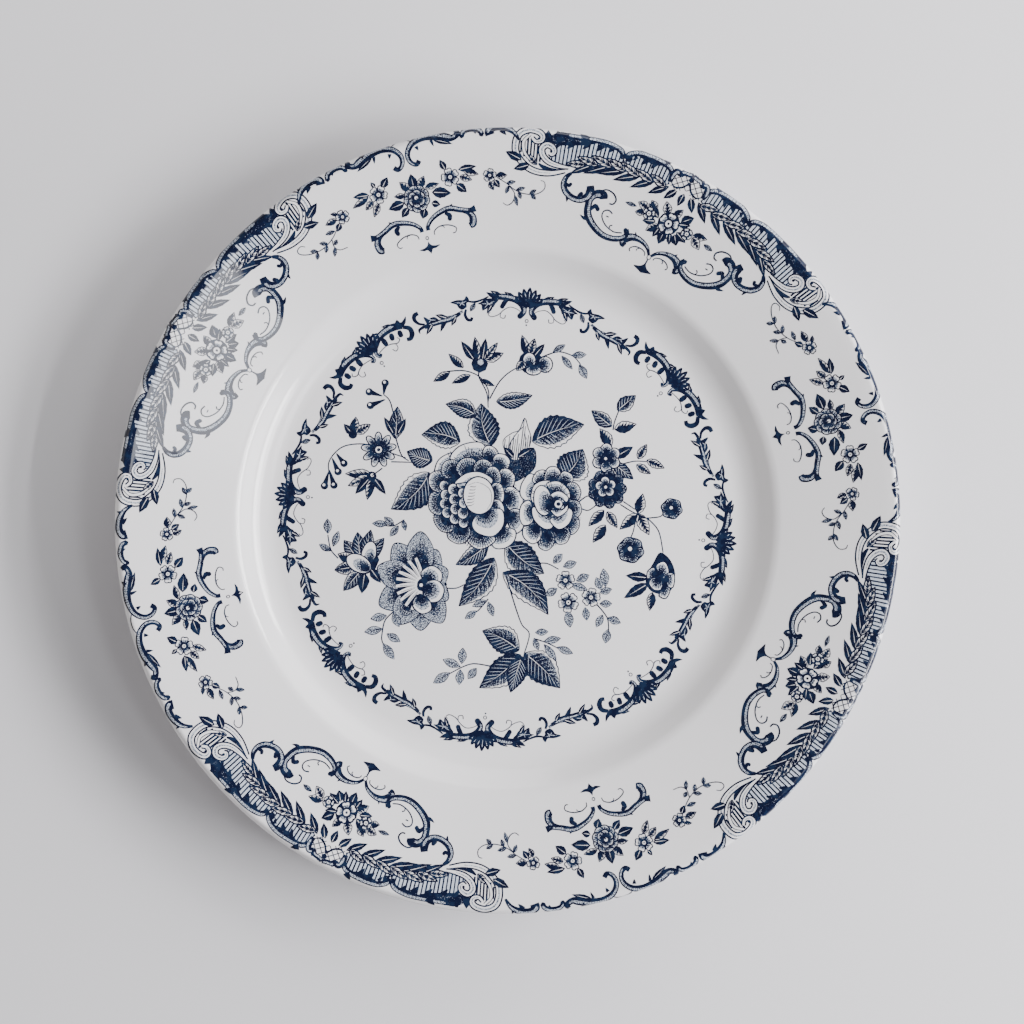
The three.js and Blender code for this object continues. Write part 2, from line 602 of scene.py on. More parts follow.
def cartouche_half(sheet):
    """Half of a latticed cartouche: two hatched bands, white scrolls and a leafy fringe."""
    inner_band = [(6, 126.2), (6, 129.5), (8, 131.3), (12, 132), (18, 132), (21.5, 129.5), (22.5, 127.5), (20, 126), (14, 125.2), (8, 125)]
    outer_band = [
        (22.5, 127.5), (24, 130.5), (28, 132.3), (33, 131.8), (38, 130.4), (43, 129), (47, 128.8), (47, 122.8),
        (43, 121.8), (38, 121.9), (37, 124.5), (30, 125.6), (24, 126.2),
    ]
    for band in (inner_band, outer_band):
        sheet.lay(band, BARE)
        sheet.lay(band, WASH)
        sheet.hatch(band, QUARTER, 1.3, 0.52, shorten=0.06, waver=0.3)
        sheet.ribbon([*band, band[0]], (0.4, 0.4))
    for base, tip, breadth in (
        ((2.6, 125.4), (5.6, 121), 1.3), ((5.6, 125.4), (11.4, 120.4), 1.35), ((10.5, 125.4), (18, 120), 1.35), ((15.6, 125), (24.4, 120.6), 1.4),
        ((20.6, 125), (30.6, 121.2), 1.4), ((26.4, 124.8), (35, 120.2), 1.35), ((31.6, 124.2), (39.6, 119.2), 1.3),
    ):
        sheet.leaf(base, tip, breadth, dark=2, teeth=4, veins=2)
    for base, tip, breadth in (
        ((6.4, 124.6), (13, 126.8), 1.3), ((11.2, 124.4), (18.4, 126.7), 1.3), ((16, 124.4), (23.6, 127.2), 1.3), ((21, 124.6), (28.4, 127.2), 1.3),
        ((25.6, 124.6), (33.4, 126.8), 1.3), ((30.4, 124), (38, 125.4), 1.3), ((34.6, 123.2), (41.4, 122.6), 1.2),
    ):
        sheet.leaf(base, tip, breadth, dark=0, teeth=4, veins=3, edge=0.42)
    sheet.lay([(34, 132), (37, 130.4), (41, 129.5), (44, 128.9), (47.5, 128.7), (48.6, 130.6), (46, 132.2), (40, 132.2)], 0.8)
    sheet.stroke([(10.5, 130.9), (13, 130.7), (15.5, 130.7), (19, 131.2)], (0.3, 1.4, 1.3, 0.3))
    sheet.stroke([(25, 130.6), (27.5, 130.9), (30, 131.2), (32, 131.4)], (0.3, 1.0, 1.2, 0.4))
    sheet.stroke([(32, 131.6), (36, 130.3), (40, 129.5), (44, 128.9), (48.5, 129.1)], (0.4, 1.2, 1.3, 1.2, 0.6))
    for base, tip, width in (
        ((12.6, 130.8), (13.6, 128.3), 1.3), ((15.6, 130.8), (17.1, 128.5), 1.5), ((19, 130.6), (20, 128.9), 1.0), ((27.4, 130.8), (28.4, 128.9), 1.2),
        ((30.6, 131), (32.2, 128.4), 1.6), ((35, 130.4), (36.8, 128.2), 1.4), ((40, 129.6), (41.8, 127.4), 1.4), ((44.4, 129), (45.6, 126.9), 1.2),
    ):
        sheet.horn(base, tip, width)
    sheet.scroll([(6, 128.8), (8, 131.2), (12, 132.0), (18, 132.0), (21.5, 130.5), (22.4, 128.6)], (0.8, 1.15, 1.15, 1.15, 1.15, 0.9), light=0.4)
    sheet.dot((21.3, 129.1), 1.2)
    sheet.horn((8.6, 132.2), (10.6, 133.9), 1.6)
    sheet.scroll([(23, 128.4), (24.6, 130.9), (29, 132.0), (34, 132.0), (40, 131.8), (44.5, 132.0)], (1.0, 1.15, 1.15, 1.1, 1.1, 0.9), light=0.4)
    sheet.horn((35.6, 131.6), (38.4, 133.4), 1.8)
    sheet.lay([(42.6, 130), (45.2, 129), (46.6, 131), (45.6, 133), (43.4, 132.4), (41.4, 132.9)], DEEP)
    sheet.lay([(46.6, 129.4), (49, 129), (49.6, 131.2), (48.4, 133), (47.4, 131.6)], DEEP)
    cartouche_end(sheet, 1.1)


def cartouche_end(sheet, out):
    """The looped white scrolls that close a cartouche, moved outwards along the lip."""

    def moved(points):
        return [(x + out, y) for x, y in points]

    end = moved([(49, 122), (52, 122), (55.5, 124), (56.3, 127), (55.8, 129), (53, 131.4), (50, 130.4), (48.6, 128), (48.8, 125)])
    sheet.lay(end, BARE)
    sheet.hatch(end, QUARTER, 1.1, 0.62, shorten=0.15, waver=0.3)
    sheet.leaf((50 + out, 121), (54 + out, 124.5), 1.0, dark=0, teeth=3, veins=3)
    strap = moved([(53, 131), (55, 128.5), (54.5, 125), (52.5, 122.5)])
    sheet.stroke(strap, (1.1, 1.3, 1.3, 0.8))
    sheet.stroke(strap, (0.6, 0.8, 0.8, 0.3), BARE)
    hook = moved([(40, 120), (45, 118.6), (50, 118.7), (54, 120.5), (57, 124), (57.6, 127.5), (56.5, 131), (53.5, 132.6), (50.5, 132.1), (49, 130.8), (49.3, 129.2), (51, 128.8), (52.3, 130)])
    curl = moved([(39, 121.3), (42.5, 121.4), (46, 122.3), (48.3, 124.3), (48.8, 126.6), (47.3, 128), (45.3, 127.3), (44.6, 125.8), (45.4, 124.9), (46.2, 125.3)])
    sheet.stroke(moved([(40, 120), (44, 119.6), (47.5, 120.3), (49.5, 121.5)]), (0.6, 1.5, 1.5, 0.5))
    for points, widths in (
        (hook, (1.2, 1.9, 2.1, 2.1, 2.2, 2.2, 2.1, 2.0, 1.8, 1.5, 1.2)), (curl, (1.0, 1.7, 2.0, 2.1, 2.1, 2.0, 1.7, 1.5, 1.1)),
    ):
        sheet.stroke(points, [w + 0.5 for w in widths])
        sheet.stroke(points, [max(w - 0.5, 0.2) for w in widths], BARE)
        sheet.stroke(points[1:-1], (0.2, 0.6, 0.6, 0.2), 0.42)
    sheet.leaf((55.4 + out, 122.4), (60.9 + out, 125.2), 1.5, dark=2, teeth=3, veins=2)
    sheet.leaf((52.6 + out, 120.8), (58.1 + out, 119.2), 1.4, dark=2, teeth=3, veins=2)


def cartouche_middle(sheet):
    """The latticed shell between a cartouche's halves."""
    sheet.leaf((0, 125.4), (0, 120.8), 1.25, dark=2, teeth=4, veins=3)
    shell = spline([(-6, 126.5), (-6.2, 129.5), (-4.6, 132.2), (0, 132.9), (4.6, 132.2), (6.2, 129.5), (6, 126.5), (3, 125.2), (0, 126.6), (-3, 125.2)], closed=True)
    sheet.lay(shell, BARE)
    for lean in (1, -1):
        sheet.hatch(shell, lean * QUARTER / 2, 1.7, 0.28)
    for side in (1, -1):
        sheet.stroke([(0, 129.6), (side * 1.6, 127.1), (side * 4, 126.1), (side * 5.7, 127.2)], (0.5, 0.7, 0.6, 0.2))
        sheet.scroll([(side * 3.9, 130.6), (side * 3.1, 131.6), (side * 1.2, 131.9), (0, 132.5)], (1.1, 0.9, 0.9, 0.7), ticks=False)
        sheet.scroll([(side * 3.9, 130.6), (side * 5.3, 131.3), (side * 6.2, 129.6), (side * 6.1, 126.9)], (1.1, 1.1, 1.2, 0.9), ticks=False)
        sheet.dot((side * 3.9, 130.5), 0.65)
    sheet.dot((0, 130.6), 0.9)


def bracket_half(sheet):
    """Half of the scrolled bracket under a cartouche, with its tendrils."""
    sheet.stroke([(0, 100.3), (0, 98.5)], (0.5, 0.7))
    sheet.lay(spline([(0, 99.6), (0.6, 98.2), (2, 97.2), (4.3, 96.6), (3, 96.1), (1.8, 95.8), (0, 95.3)], steps=3), DEEP)
    for points, widths in (
        (((2, 100.9), (2.6, 102), (5, 102.6), (7.5, 102.2), (8.9, 101), (8.3, 100.2)), (0.4, 0.4)),
        (((5.2, 102.4), (6, 101.9), (5.9, 101.3)), (0.3, 0.4)),
        (((14.3, 104.8), (17.5, 104.2), (21.3, 105.3), (23.8, 107.6), (23.9, 109.6), (22.2, 110.5), (20.4, 109.8)), (0.42, 0.5)),
        (((19.5, 104.6), (19.8, 105.6), (18.9, 106.1)), (0.34, 0.42)),
        (((22.4, 108.4), (21.3, 108.3)), (0.34, 0.42)),
        (((27.8, 115.3), (25.3, 116.9), (22.4, 116.3), (20.8, 114.5), (21.4, 112.9), (22.8, 112.7)), (0.42, 0.6, 0.5)),
    ):
        sheet.stroke(points, widths, steps=4)
    sheet.horn((8.2, 104.9), (9.4, 106.9), 0.9)
    sheet.scroll([(0.5, 101.8), (2.5, 103.8), (6, 105), (9.5, 104.9), (12, 103.6), (12.4, 102), (11.2, 101.2)], (0.45, 0.7, 1.0, 1.5, 2.1, 1.8, 0.9))
    sheet.horn((28.3, 106.5), (32.4, 106.6), 1.3, bend=-0.2)
    sheet.lobe([(29.3, 108.5), (27.6, 110.6), (26.3, 109.8)], 1.3)
    sheet.scroll(
        [(13.2, 106.3), (12.4, 105), (13.4, 103.2), (17, 101.9), (21.5, 102), (26, 104), (29.3, 107), (30.2, 110.5), (29.8, 113), (28, 114.7), (25.8, 114.7), (25.2, 113.6)],
        (1.2, 1.1, 1.15, 1.2, 1.3, 1.5, 1.8, 1.6, 1.5, 1.8, 2.0, 1.5),
    )
    sheet.dot((13.4, 106.1), 0.8)
    sheet.horn((38.6, 112.5), (38.5, 109.8), 1.2)
    sheet.scroll([(38.8, 119.6), (40.3, 118), (40.8, 115.6), (39.6, 113.2), (36.8, 111.6), (33.8, 111.4), (31.4, 112.9), (30.8, 115), (31.3, 116.8)], (0.5, 1.0, 1.3, 1.4, 1.3, 1.3, 1.7, 1.9, 1.4))
    sheet.lobe([(40.6, 116.3), (38.9, 115.4), (38.3, 115.9)], 1.0)
    sheet.lobe([(34.5, 111.8), (34.3, 112.6), (33.8, 113.4)], 1.3)


def bracket_bouquet(sheet):
    """The small flowers inside a bracket."""
    for base, tip, breadth, dark in (
        ((-1.5, 116.8), (-4, 120.6), 1.0, 0), ((0.8, 117), (2.4, 120.7), 0.9, 1), ((4, 116.5), (7.2, 120.2), 1.2, 2),
        ((-3, 112.2), (-6.2, 108.7), 1.1, 1), ((0.3, 111.2), (0.6, 106.6), 1.2, 2), ((4.2, 112), (7, 109), 1.1, 2),
        ((-6, 116.5), (-9, 118.8), 0.9, 1), ((-9, 116), (-13, 116.6), 0.9, 0), ((-9.5, 114), (-12.8, 113.2), 0.8, -1),
        ((10, 115), (15.3, 116.5), 0.9, 1), ((10.5, 114.3), (15, 112.1), 1.0, 0),
    ):
        sheet.leaf(base, tip, breadth * 1.5, dark=dark, teeth=4, veins=3, edge=0.24)
    sheet.leaflet((-13, 115), (-17.3, 115), 0.6)
    sheet.leaflet((15.3, 114.5), (19.2, 114.3), 0.7)
    for base, tip, breadth in (
        ((-4, 114.4), (-9.4, 117.6), 1.5), ((-4.4, 113), (-9, 111.4), 1.4), ((4.4, 113), (9.4, 111.4), 1.4), ((3.6, 115.6), (7.6, 117.2), 1.2),
        ((-2, 111.6), (-2.8, 107.8), 1.2), ((2.6, 111.6), (4.4, 108), 1.2),
    ):
        sheet.leaf(base, tip, breadth, dark=2, teeth=4, veins=2)
    sheet.dot((0.3, 114.2), 4.1)
    sheet.dot((-7.6, 114.4), 2.3)
    sheet.dot((7.8, 114.2), 2.2)
    sheet.flower((-7.8, 114.4), 2.2, turn=0.4, heart=0.4)
    sheet.flower((8, 114.2), 2.1, turn=0.9, heart=0.4)
    sheet.flower((0.3, 114.2), 3.7, turn=0.3, heart=0.4)


def garland_half(sheet):
    """Half of the scrolls along the lip, over a spray."""
    sheet.stroke([(0, 132.9), (1.6, 132.7), (3, 132.1)], (0.4, 0.4, 0.3))
    sheet.horn((4.4, 129.9), (4.9, 128.4), 0.9)
    sheet.horn((9.5, 130.8), (10, 128.6), 0.8)
    sheet.leaf((10, 131), (16.2, 128.2), 0.95, dark=2, teeth=4, veins=3)
    sheet.scroll(
        [(4.4, 125), (3.2, 123.9), (1.6, 125), (1.0, 127.2), (1.7, 129.3), (3.6, 131.2), (7, 132.2), (11, 131.9), (14.5, 130.7), (16.5, 130.3), (18.2, 131.4), (17.6, 132.6)],
        (0.9, 0.85, 0.85, 0.95, 1.05, 1.2, 1.4, 1.7, 1.7, 1.2, 1.1, 0.7),
    )
    sheet.dot((3.9, 124.4), 0.8)
    sheet.horn((12.5, 132), (13.8, 133.2), 1.1)
    sheet.scroll([(19.3, 130.2), (20.2, 131.7), (22.6, 132.4), (25.2, 131.6), (26, 130)], (0.9, 0.9, 1.2, 1.0, 0.9), ticks=False)
    sheet.dot((19.4, 130.3), 0.65)
    sheet.dot((25.9, 130.1), 0.6)
    sheet.horn((23.5, 132), (24, 130.6), 0.8)
    sheet.horn((35.2, 131), (35.8, 133.2), 1.0)
    sheet.horn((32.2, 131.4), (33.8, 129.7), 1.2)
    sheet.scroll([(28.6, 129.9), (28.4, 131.3), (30.2, 132.4), (33.5, 132.1), (36.2, 130.6), (38, 128)], (1.8, 1.7, 1.5, 1.4, 0.9, 0.3), ticks=False)


def under_spray_half(sheet):
    """Half of the scroll that carries a spray."""
    for points, widths in (
        (((3.3, 99.3), (3.6, 100.6), (6, 101.7), (9.5, 101.5), (12.3, 100.2), (11.9, 98.7), (10.7, 98.6)), (0.35, 0.4, 0.3)),
        (((6.2, 101.6), (7.3, 101.5), (7.8, 100.8)), (0.22, 0.3)),
    ):
        sheet.stroke(points, widths, steps=4)
    sheet.scroll([(15.5, 105.6), (18, 104.6), (19.4, 102.8), (19.2, 100.8), (17.9, 100)], (0.8, 1.2, 1.7, 2.0, 1.0))
    sheet.lobe([(9, 105.7), (10.6, 104.6), (10.5, 103.6)], 1.5)
    sheet.horn((11, 106.8), (12.3, 108.3), 1.1)
    sheet.scroll([(1.3, 101.3), (1.6, 102.8), (4, 104.9), (8, 106.5), (11.3, 106.9), (15, 105.8), (18.6, 105.2), (20.8, 105.7)], (0.9, 0.8, 0.9, 1.1, 1.2, 1.1, 0.9, 1.4))
    sheet.lay(spline([(0, 97.8), (0.8, 96.4), (2.5, 95.8), (4.5, 95.7), (2.6, 94.9), (1.2, 94.9), (0, 93.4)], steps=3), DEEP)


def oval(centre, wide, tall, turn=0.0, count=8):
    """Points round an oval."""
    cos, sin = math.cos(turn), math.sin(turn)
    ring = [(wide * math.cos(math.tau * i / count), tall * math.sin(math.tau * i / count)) for i in range(count)]
    return [(centre[0] + x * cos - y * sin, centre[1] + x * sin + y * cos) for x, y in ring]


def small_rose(sheet, centre, radius):
    """A rose of the rim, in two rows of petals round a dark heart."""
    sheet.dot(centre, radius)
    for count, out, wide, shade in ((9, 0.72, 0.36, 0.62), (6, 0.42, 0.3, 0.55)):
        for k in range(count):
            lean = 0.3 + math.tau * k / count
            petal(sheet, oval(reach(centre, radius * out, lean), radius * wide * 0.8, radius * wide, lean), centre, shade, 5)
    sheet.dot(centre, radius * 0.26)
    sheet.dot(reach(centre, radius * 0.08, 1.9), radius * 0.14, BARE)
    sheet.dot(centre, radius * 0.06)


def rim_spray(sheet):
    """The spray of a rose and four small flowers between two cartouches."""
    for points in (
        ((29.5, 115.3), (32.5, 113.5), (35.5, 111.3), (39, 110), (43.5, 110.1), (46.2, 112), (46, 114.3), (44.6, 114.8)),
        ((33.5, 112.5), (35.6, 110), (35, 107.2), (33, 106), (31.3, 106.9)),
        ((-29, 115), (-33, 112.3), (-38, 111.1), (-42.6, 112), (-45.6, 114), (-45.8, 115.7), (-44, 116.2), (-42.8, 115.2)),
        ((-33.5, 112), (-34.2, 109.5), (-33, 107.6), (-30, 107)),
    ):
        sheet.stroke(points, (0.3, 0.36, 0.25), steps=4)
    for base, tip in (
        ((32.5, 113.4), (35.8, 114)), ((33.5, 112.6), (32.3, 110)), ((36, 111), (39.3, 112)), ((37, 110.6), (38, 108.2)),
        ((41, 110), (43.4, 111.5)), ((41.5, 110), (43.5, 108.3)), ((35.6, 109.5), (36.8, 105.8)),
        ((-35.5, 111.6), (-38, 113.3)), ((-36, 111.5), (-38, 109.4)), ((-40, 111.4), (-42.3, 112.9)),
        ((-40.3, 111.2), (-42, 109.2)), ((-31, 114), (-34.5, 114.6)), ((-33.8, 110), (-31.9, 111)), ((-34, 109.3), (-36, 106.7)),
    ):
        sheet.leaflet(base, tip, 0.62)
    for base, tip, breadth, dark in (
        ((0.2, 116), (0.4, 121.4), 1.35, 2), ((-1.5, 116), (-4, 119.8), 1.1, 1), ((2, 116), (4.6, 119.5), 1.1, -1),
        ((-4.5, 112.6), (-10.6, 112.3), 1.4, 2), ((6, 113.5), (12.7, 111.9), 1.5, 2), ((-3.5, 114.8), (-7.2, 115.6), 0.8, 1),
        ((4, 115.6), (9, 116), 0.9, 1), ((-3.6, 110.6), (-7, 108.2), 1.1, 2), ((5, 110), (8, 108.8), 1.0, 2),
        ((2.2, 108.8), (0.3, 105.6), 1.3, 2),
        ((12, 120), (10.7, 123.7), 0.9, 2), ((16.3, 119.3), (22.5, 119.8), 0.95, 2), ((18, 118.8), (23, 117), 1.0, 1),
        ((16.5, 117), (20.5, 115.3), 0.9, 0), ((15, 114.6), (18.3, 111.4), 1.2, 2), ((29, 116), (32.8, 116.3), 1.0, 1),
        ((28.3, 114.7), (30.2, 112), 0.9, 2), ((26.5, 114), (28, 111.3), 0.7, 0),
        ((-10, 120), (-7.2, 122.8), 1.1, 2), ((-12.2, 121), (-12.9, 123.2), 0.6, 2), ((-15, 119.3), (-20.2, 121), 1.0, 2),
        ((-15.5, 118.8), (-21.8, 117.6), 0.9, 1), ((-14.5, 117), (-18, 115.2), 0.9, 0), ((-13, 115.5), (-16.3, 111.9), 0.9, 0),
        ((-28.5, 117), (-32.8, 117.2), 0.9, 1), ((-28, 115.3), (-30.5, 113.3), 0.9, 2), ((-27.5, 118.3), (-29.5, 119.6), 0.5, 1),
    ):
        sheet.leaf(base, tip, breadth * 1.25, dark=dark, teeth=4, veins=3, edge=0.24)
    sheet.flower((13.2, 117.3), 3.1, turn=0.5)
    sheet.flower((26.8, 116.3), 2.3, turn=0.1)
    sheet.flower((-12, 118.3), 3.1, turn=0.8)
    sheet.flower((-26.3, 116.8), 2.4, turn=0.3)
    small_rose(sheet, (0.2, 112.7), 4.6)


# ---------------------------------------------------------------------------- wreath motifs


def palmette(sheet, foot, top, spread):
    """A fan of pointed dark lobes on an axis."""
    for k in (3, -3, 2, -2, 1, -1, 0):
        lean = k * 0.31
        length = (top - foot) * (1.04 - 0.05 * abs(k))
        tip = (math.sin(lean) * length * spread, foot + math.cos(lean) * length)
        sheet.stroke([(0, foot), (tip[0] * 0.6, foot + (tip[1] - foot) * 0.5), tip], (1.4, 2.1, 2.0, 0.35), steps=4)
        sheet.stroke([(tip[0] * 0.4, foot + (tip[1] - foot) * 0.42), (tip[0] * 0.78, foot + (tip[1] - foot) * 0.78)], (0.1, 0.24), PALE, steps=2)


def acanthus(sheet, points):
    """A dark ragged leaf with light veins."""
    outline = spline(points, closed=True, steps=3)
    sheet.lay(outline, DEEP)
    middle = (sum(p[0] for p in points) / len(points), sum(p[1] for p in points) / len(points))
    for p in points[::2]:
        sheet.stroke([middle, ((middle[0] * 0.4 + p[0] * 0.6), (middle[1] * 0.4 + p[1] * 0.6))], (0.12, 0.24, 0.05), PALE, steps=2)


def wreath_half(sheet):
    """An eighth of the wreath round the well, from the axis of a large palmette to the next."""
    for points, widths in (
        (((1.8, 69.2), (3.5, 70.5), (6, 71.2), (8.2, 70.2), (10, 68.7), (12.5, 68.1), (13.6, 69), (12.8, 69.6)), (0.22, 0.3, 0.22)),
        (((9.2, 69.3), (9.4, 67.8), (8, 67.4), (7.6, 68.5)), (0.22, 0.3)),
        (((13, 75), (15, 74.2), (17.5, 73.7), (19.5, 74.2), (20.5, 75)), (0.5, 0.8, 0.5)),
        (((54.3, 70), (51, 70.6), (48.8, 70.3), (46.8, 69.4), (45.4, 70.2), (46, 71.2)), (0.25, 0.35, 0.25)),
        (((47.4, 69.6), (47.4, 68), (48.7, 67.4), (49.3, 68.6)), (0.22, 0.3)),
    ):
        sheet.stroke(points, widths, steps=4)
    sheet.stroke([(22, 71.3), (25, 70.5), (27.5, 70.6), (28, 71)], (0.9, 0.9, 0.6), MID)
    sheet.scroll([(23, 70.8), (27, 69.6), (31, 69.8), (36, 70)], (0.6, 0.95, 0.95, 0.8), ticks=False)
    for base, tip, breadth in (
        ((4.4, 74), (8, 76.4), 0.85), ((8.6, 74.6), (12.4, 77), 0.85), ((12, 72.4), (14, 69.2), 0.8), ((24.6, 70), (27, 67.4), 0.8),
        ((27.6, 70.2), (31.2, 72.6), 0.85), ((33, 70), (36.4, 67.4), 0.8), ((45, 74.8), (48.4, 77), 0.85), ((49.6, 74.6), (53, 76.6), 0.8),
    ):
        sheet.leaf(base, tip, breadth, dark=2, teeth=3, veins=0)
    sheet.horn((11.5, 75), (13.6, 76.5), 1.2)
    sheet.lobe([(6.8, 73.7), (7.9, 72.7), (8.7, 71.4)], 1.3)
    sheet.scroll([(2.5, 68.3), (1.3, 70), (2.2, 72.2), (4.5, 73.8), (8, 74.6), (12, 75)], (1.1, 1.1, 1.2, 1.3, 1.35, 1.2))
    sheet.dot((2.5, 68.3), 1.0)
    acanthus(sheet, [(9.8, 73.7), (11.8, 74.3), (14, 74.3), (15.3, 73.6), (16.8, 72.9), (15.6, 72.4), (15.4, 70.4), (13.6, 71.2), (12.3, 71.9), (11.7, 71.2), (10.9, 72.4)])
    sheet.leaflet((17.5, 73.3), (19.5, 70.8), 0.7)
    acanthus(sheet, [(19.3, 74.6), (20, 76.2), (21, 75), (23, 75.4), (25.4, 75.1), (23.6, 73.9), (23.2, 72.8), (22.2, 71.8), (20.5, 72.4), (20.3, 73.6)])
    sheet.stroke([(20.8, 71.7), (21.5, 70), (21, 68.3), (19.8, 67.8), (19.3, 68.7)], (0.7, 1.0, 1.1, 1.0, 0.9))
    sheet.horn((29, 69.3), (31.3, 66.6), 1.3)
    acanthus(sheet, [(30.5, 70.4), (31.6, 72), (33.2, 72.2), (33.6, 72), (35, 73.4), (35, 71.5), (34.6, 70.4), (32, 70.2)])
    sheet.stroke([(36, 70.2), (38, 69.8), (38.3, 68.5)], (1.1, 0.9, 0.2))
    sheet.stroke([(35.5, 70.8), (37.3, 71.8), (38.1, 73.6), (37.5, 75), (36.2, 75.2)], (0.6, 0.9, 1.2, 1.5, 1.3))
    sheet.horn((43, 73.8), (40.2, 76), 1.2, bend=0.1)
    sheet.stroke([(42.5, 73.2), (40.8, 71.8), (40.8, 69.8), (42, 68.6), (43.3, 68.9)], (1.2, 1.6, 1.8, 1.5, 1.2))
    sheet.horn((43.5, 75), (43.2, 76.4), 1.3)
    for base, tip in (((44.2, 72.9), (44.4, 71.2)), ((47, 73.4), (47.4, 71.7)), ((50.3, 73.6), (50.2, 71.4))):
        sheet.lobe([base, ((base[0] + tip[0]) / 2, (base[1] + tip[1]) / 2), tip], 1.4)
    sheet.scroll([(42.5, 73.8), (46, 74.9), (50, 74.7), (53, 73.2), (54.7, 70.8), (54.4, 69), (53.4, 69.6)], (1.3, 1.6, 1.5, 1.2, 0.7, 0.5, 0.4))


def wreath_axis(sheet, foot, top, spread, knop):
    """The palmette and knops on one of the wreath's axes."""
    palmette(sheet, foot, top, spread)
    sheet.ring((0, knop), 0.68, 0.26)
    sheet.dot((0, knop - 1.4), 0.3)


# ---------------------------------------------------------------------------- centre motifs


def petal(sheet, points, heart, shade=0.55, lines=13, blade=BARE):
    """A petal of a full rose, darkest at its base by the heart: tones, then fine lines."""
    outline = sheet.patch(points, blade, edge=0)
    middle = (sum(p[0] for p in points) / len(points), sum(p[1] for p in points) / len(points))
    half = sum(math.dist(p, middle) for p in points) / len(points)
    inward = math.atan2(heart[1] - middle[1], heart[0] - middle[0])
    root = reach(middle, half * 1.1, inward)
    for share, tone in ((0.56 + shade * 0.5, 0.4), (0.38 + shade * 0.58, 0.62), (0.24 + shade * 0.48, 0.84), (0.12 + shade * 0.3, DEEP)):
        share = min(share, 0.95)
        sheet.lay([tuple(r + (p - r) * share for r, p in zip(root, point)) for point in outline[::2]], tone)
    for k in range(lines):
        lean = inward + math.pi + (k + 0.5 - lines / 2) * 1.6 / lines
        length = half * 2.4 * min(shade + 0.1, 0.9) * (0.75 + 0.45 * sheet.chance.random())
        sheet.ribbon([reach(root, half * 0.3, lean), reach(root, min(max(length, half * 0.8), half * 1.9), lean)], (0.4, 0.2))
    sheet.ribbon([*outline, outline[0]], (0.44, 0.34, 0.5, 0.38))


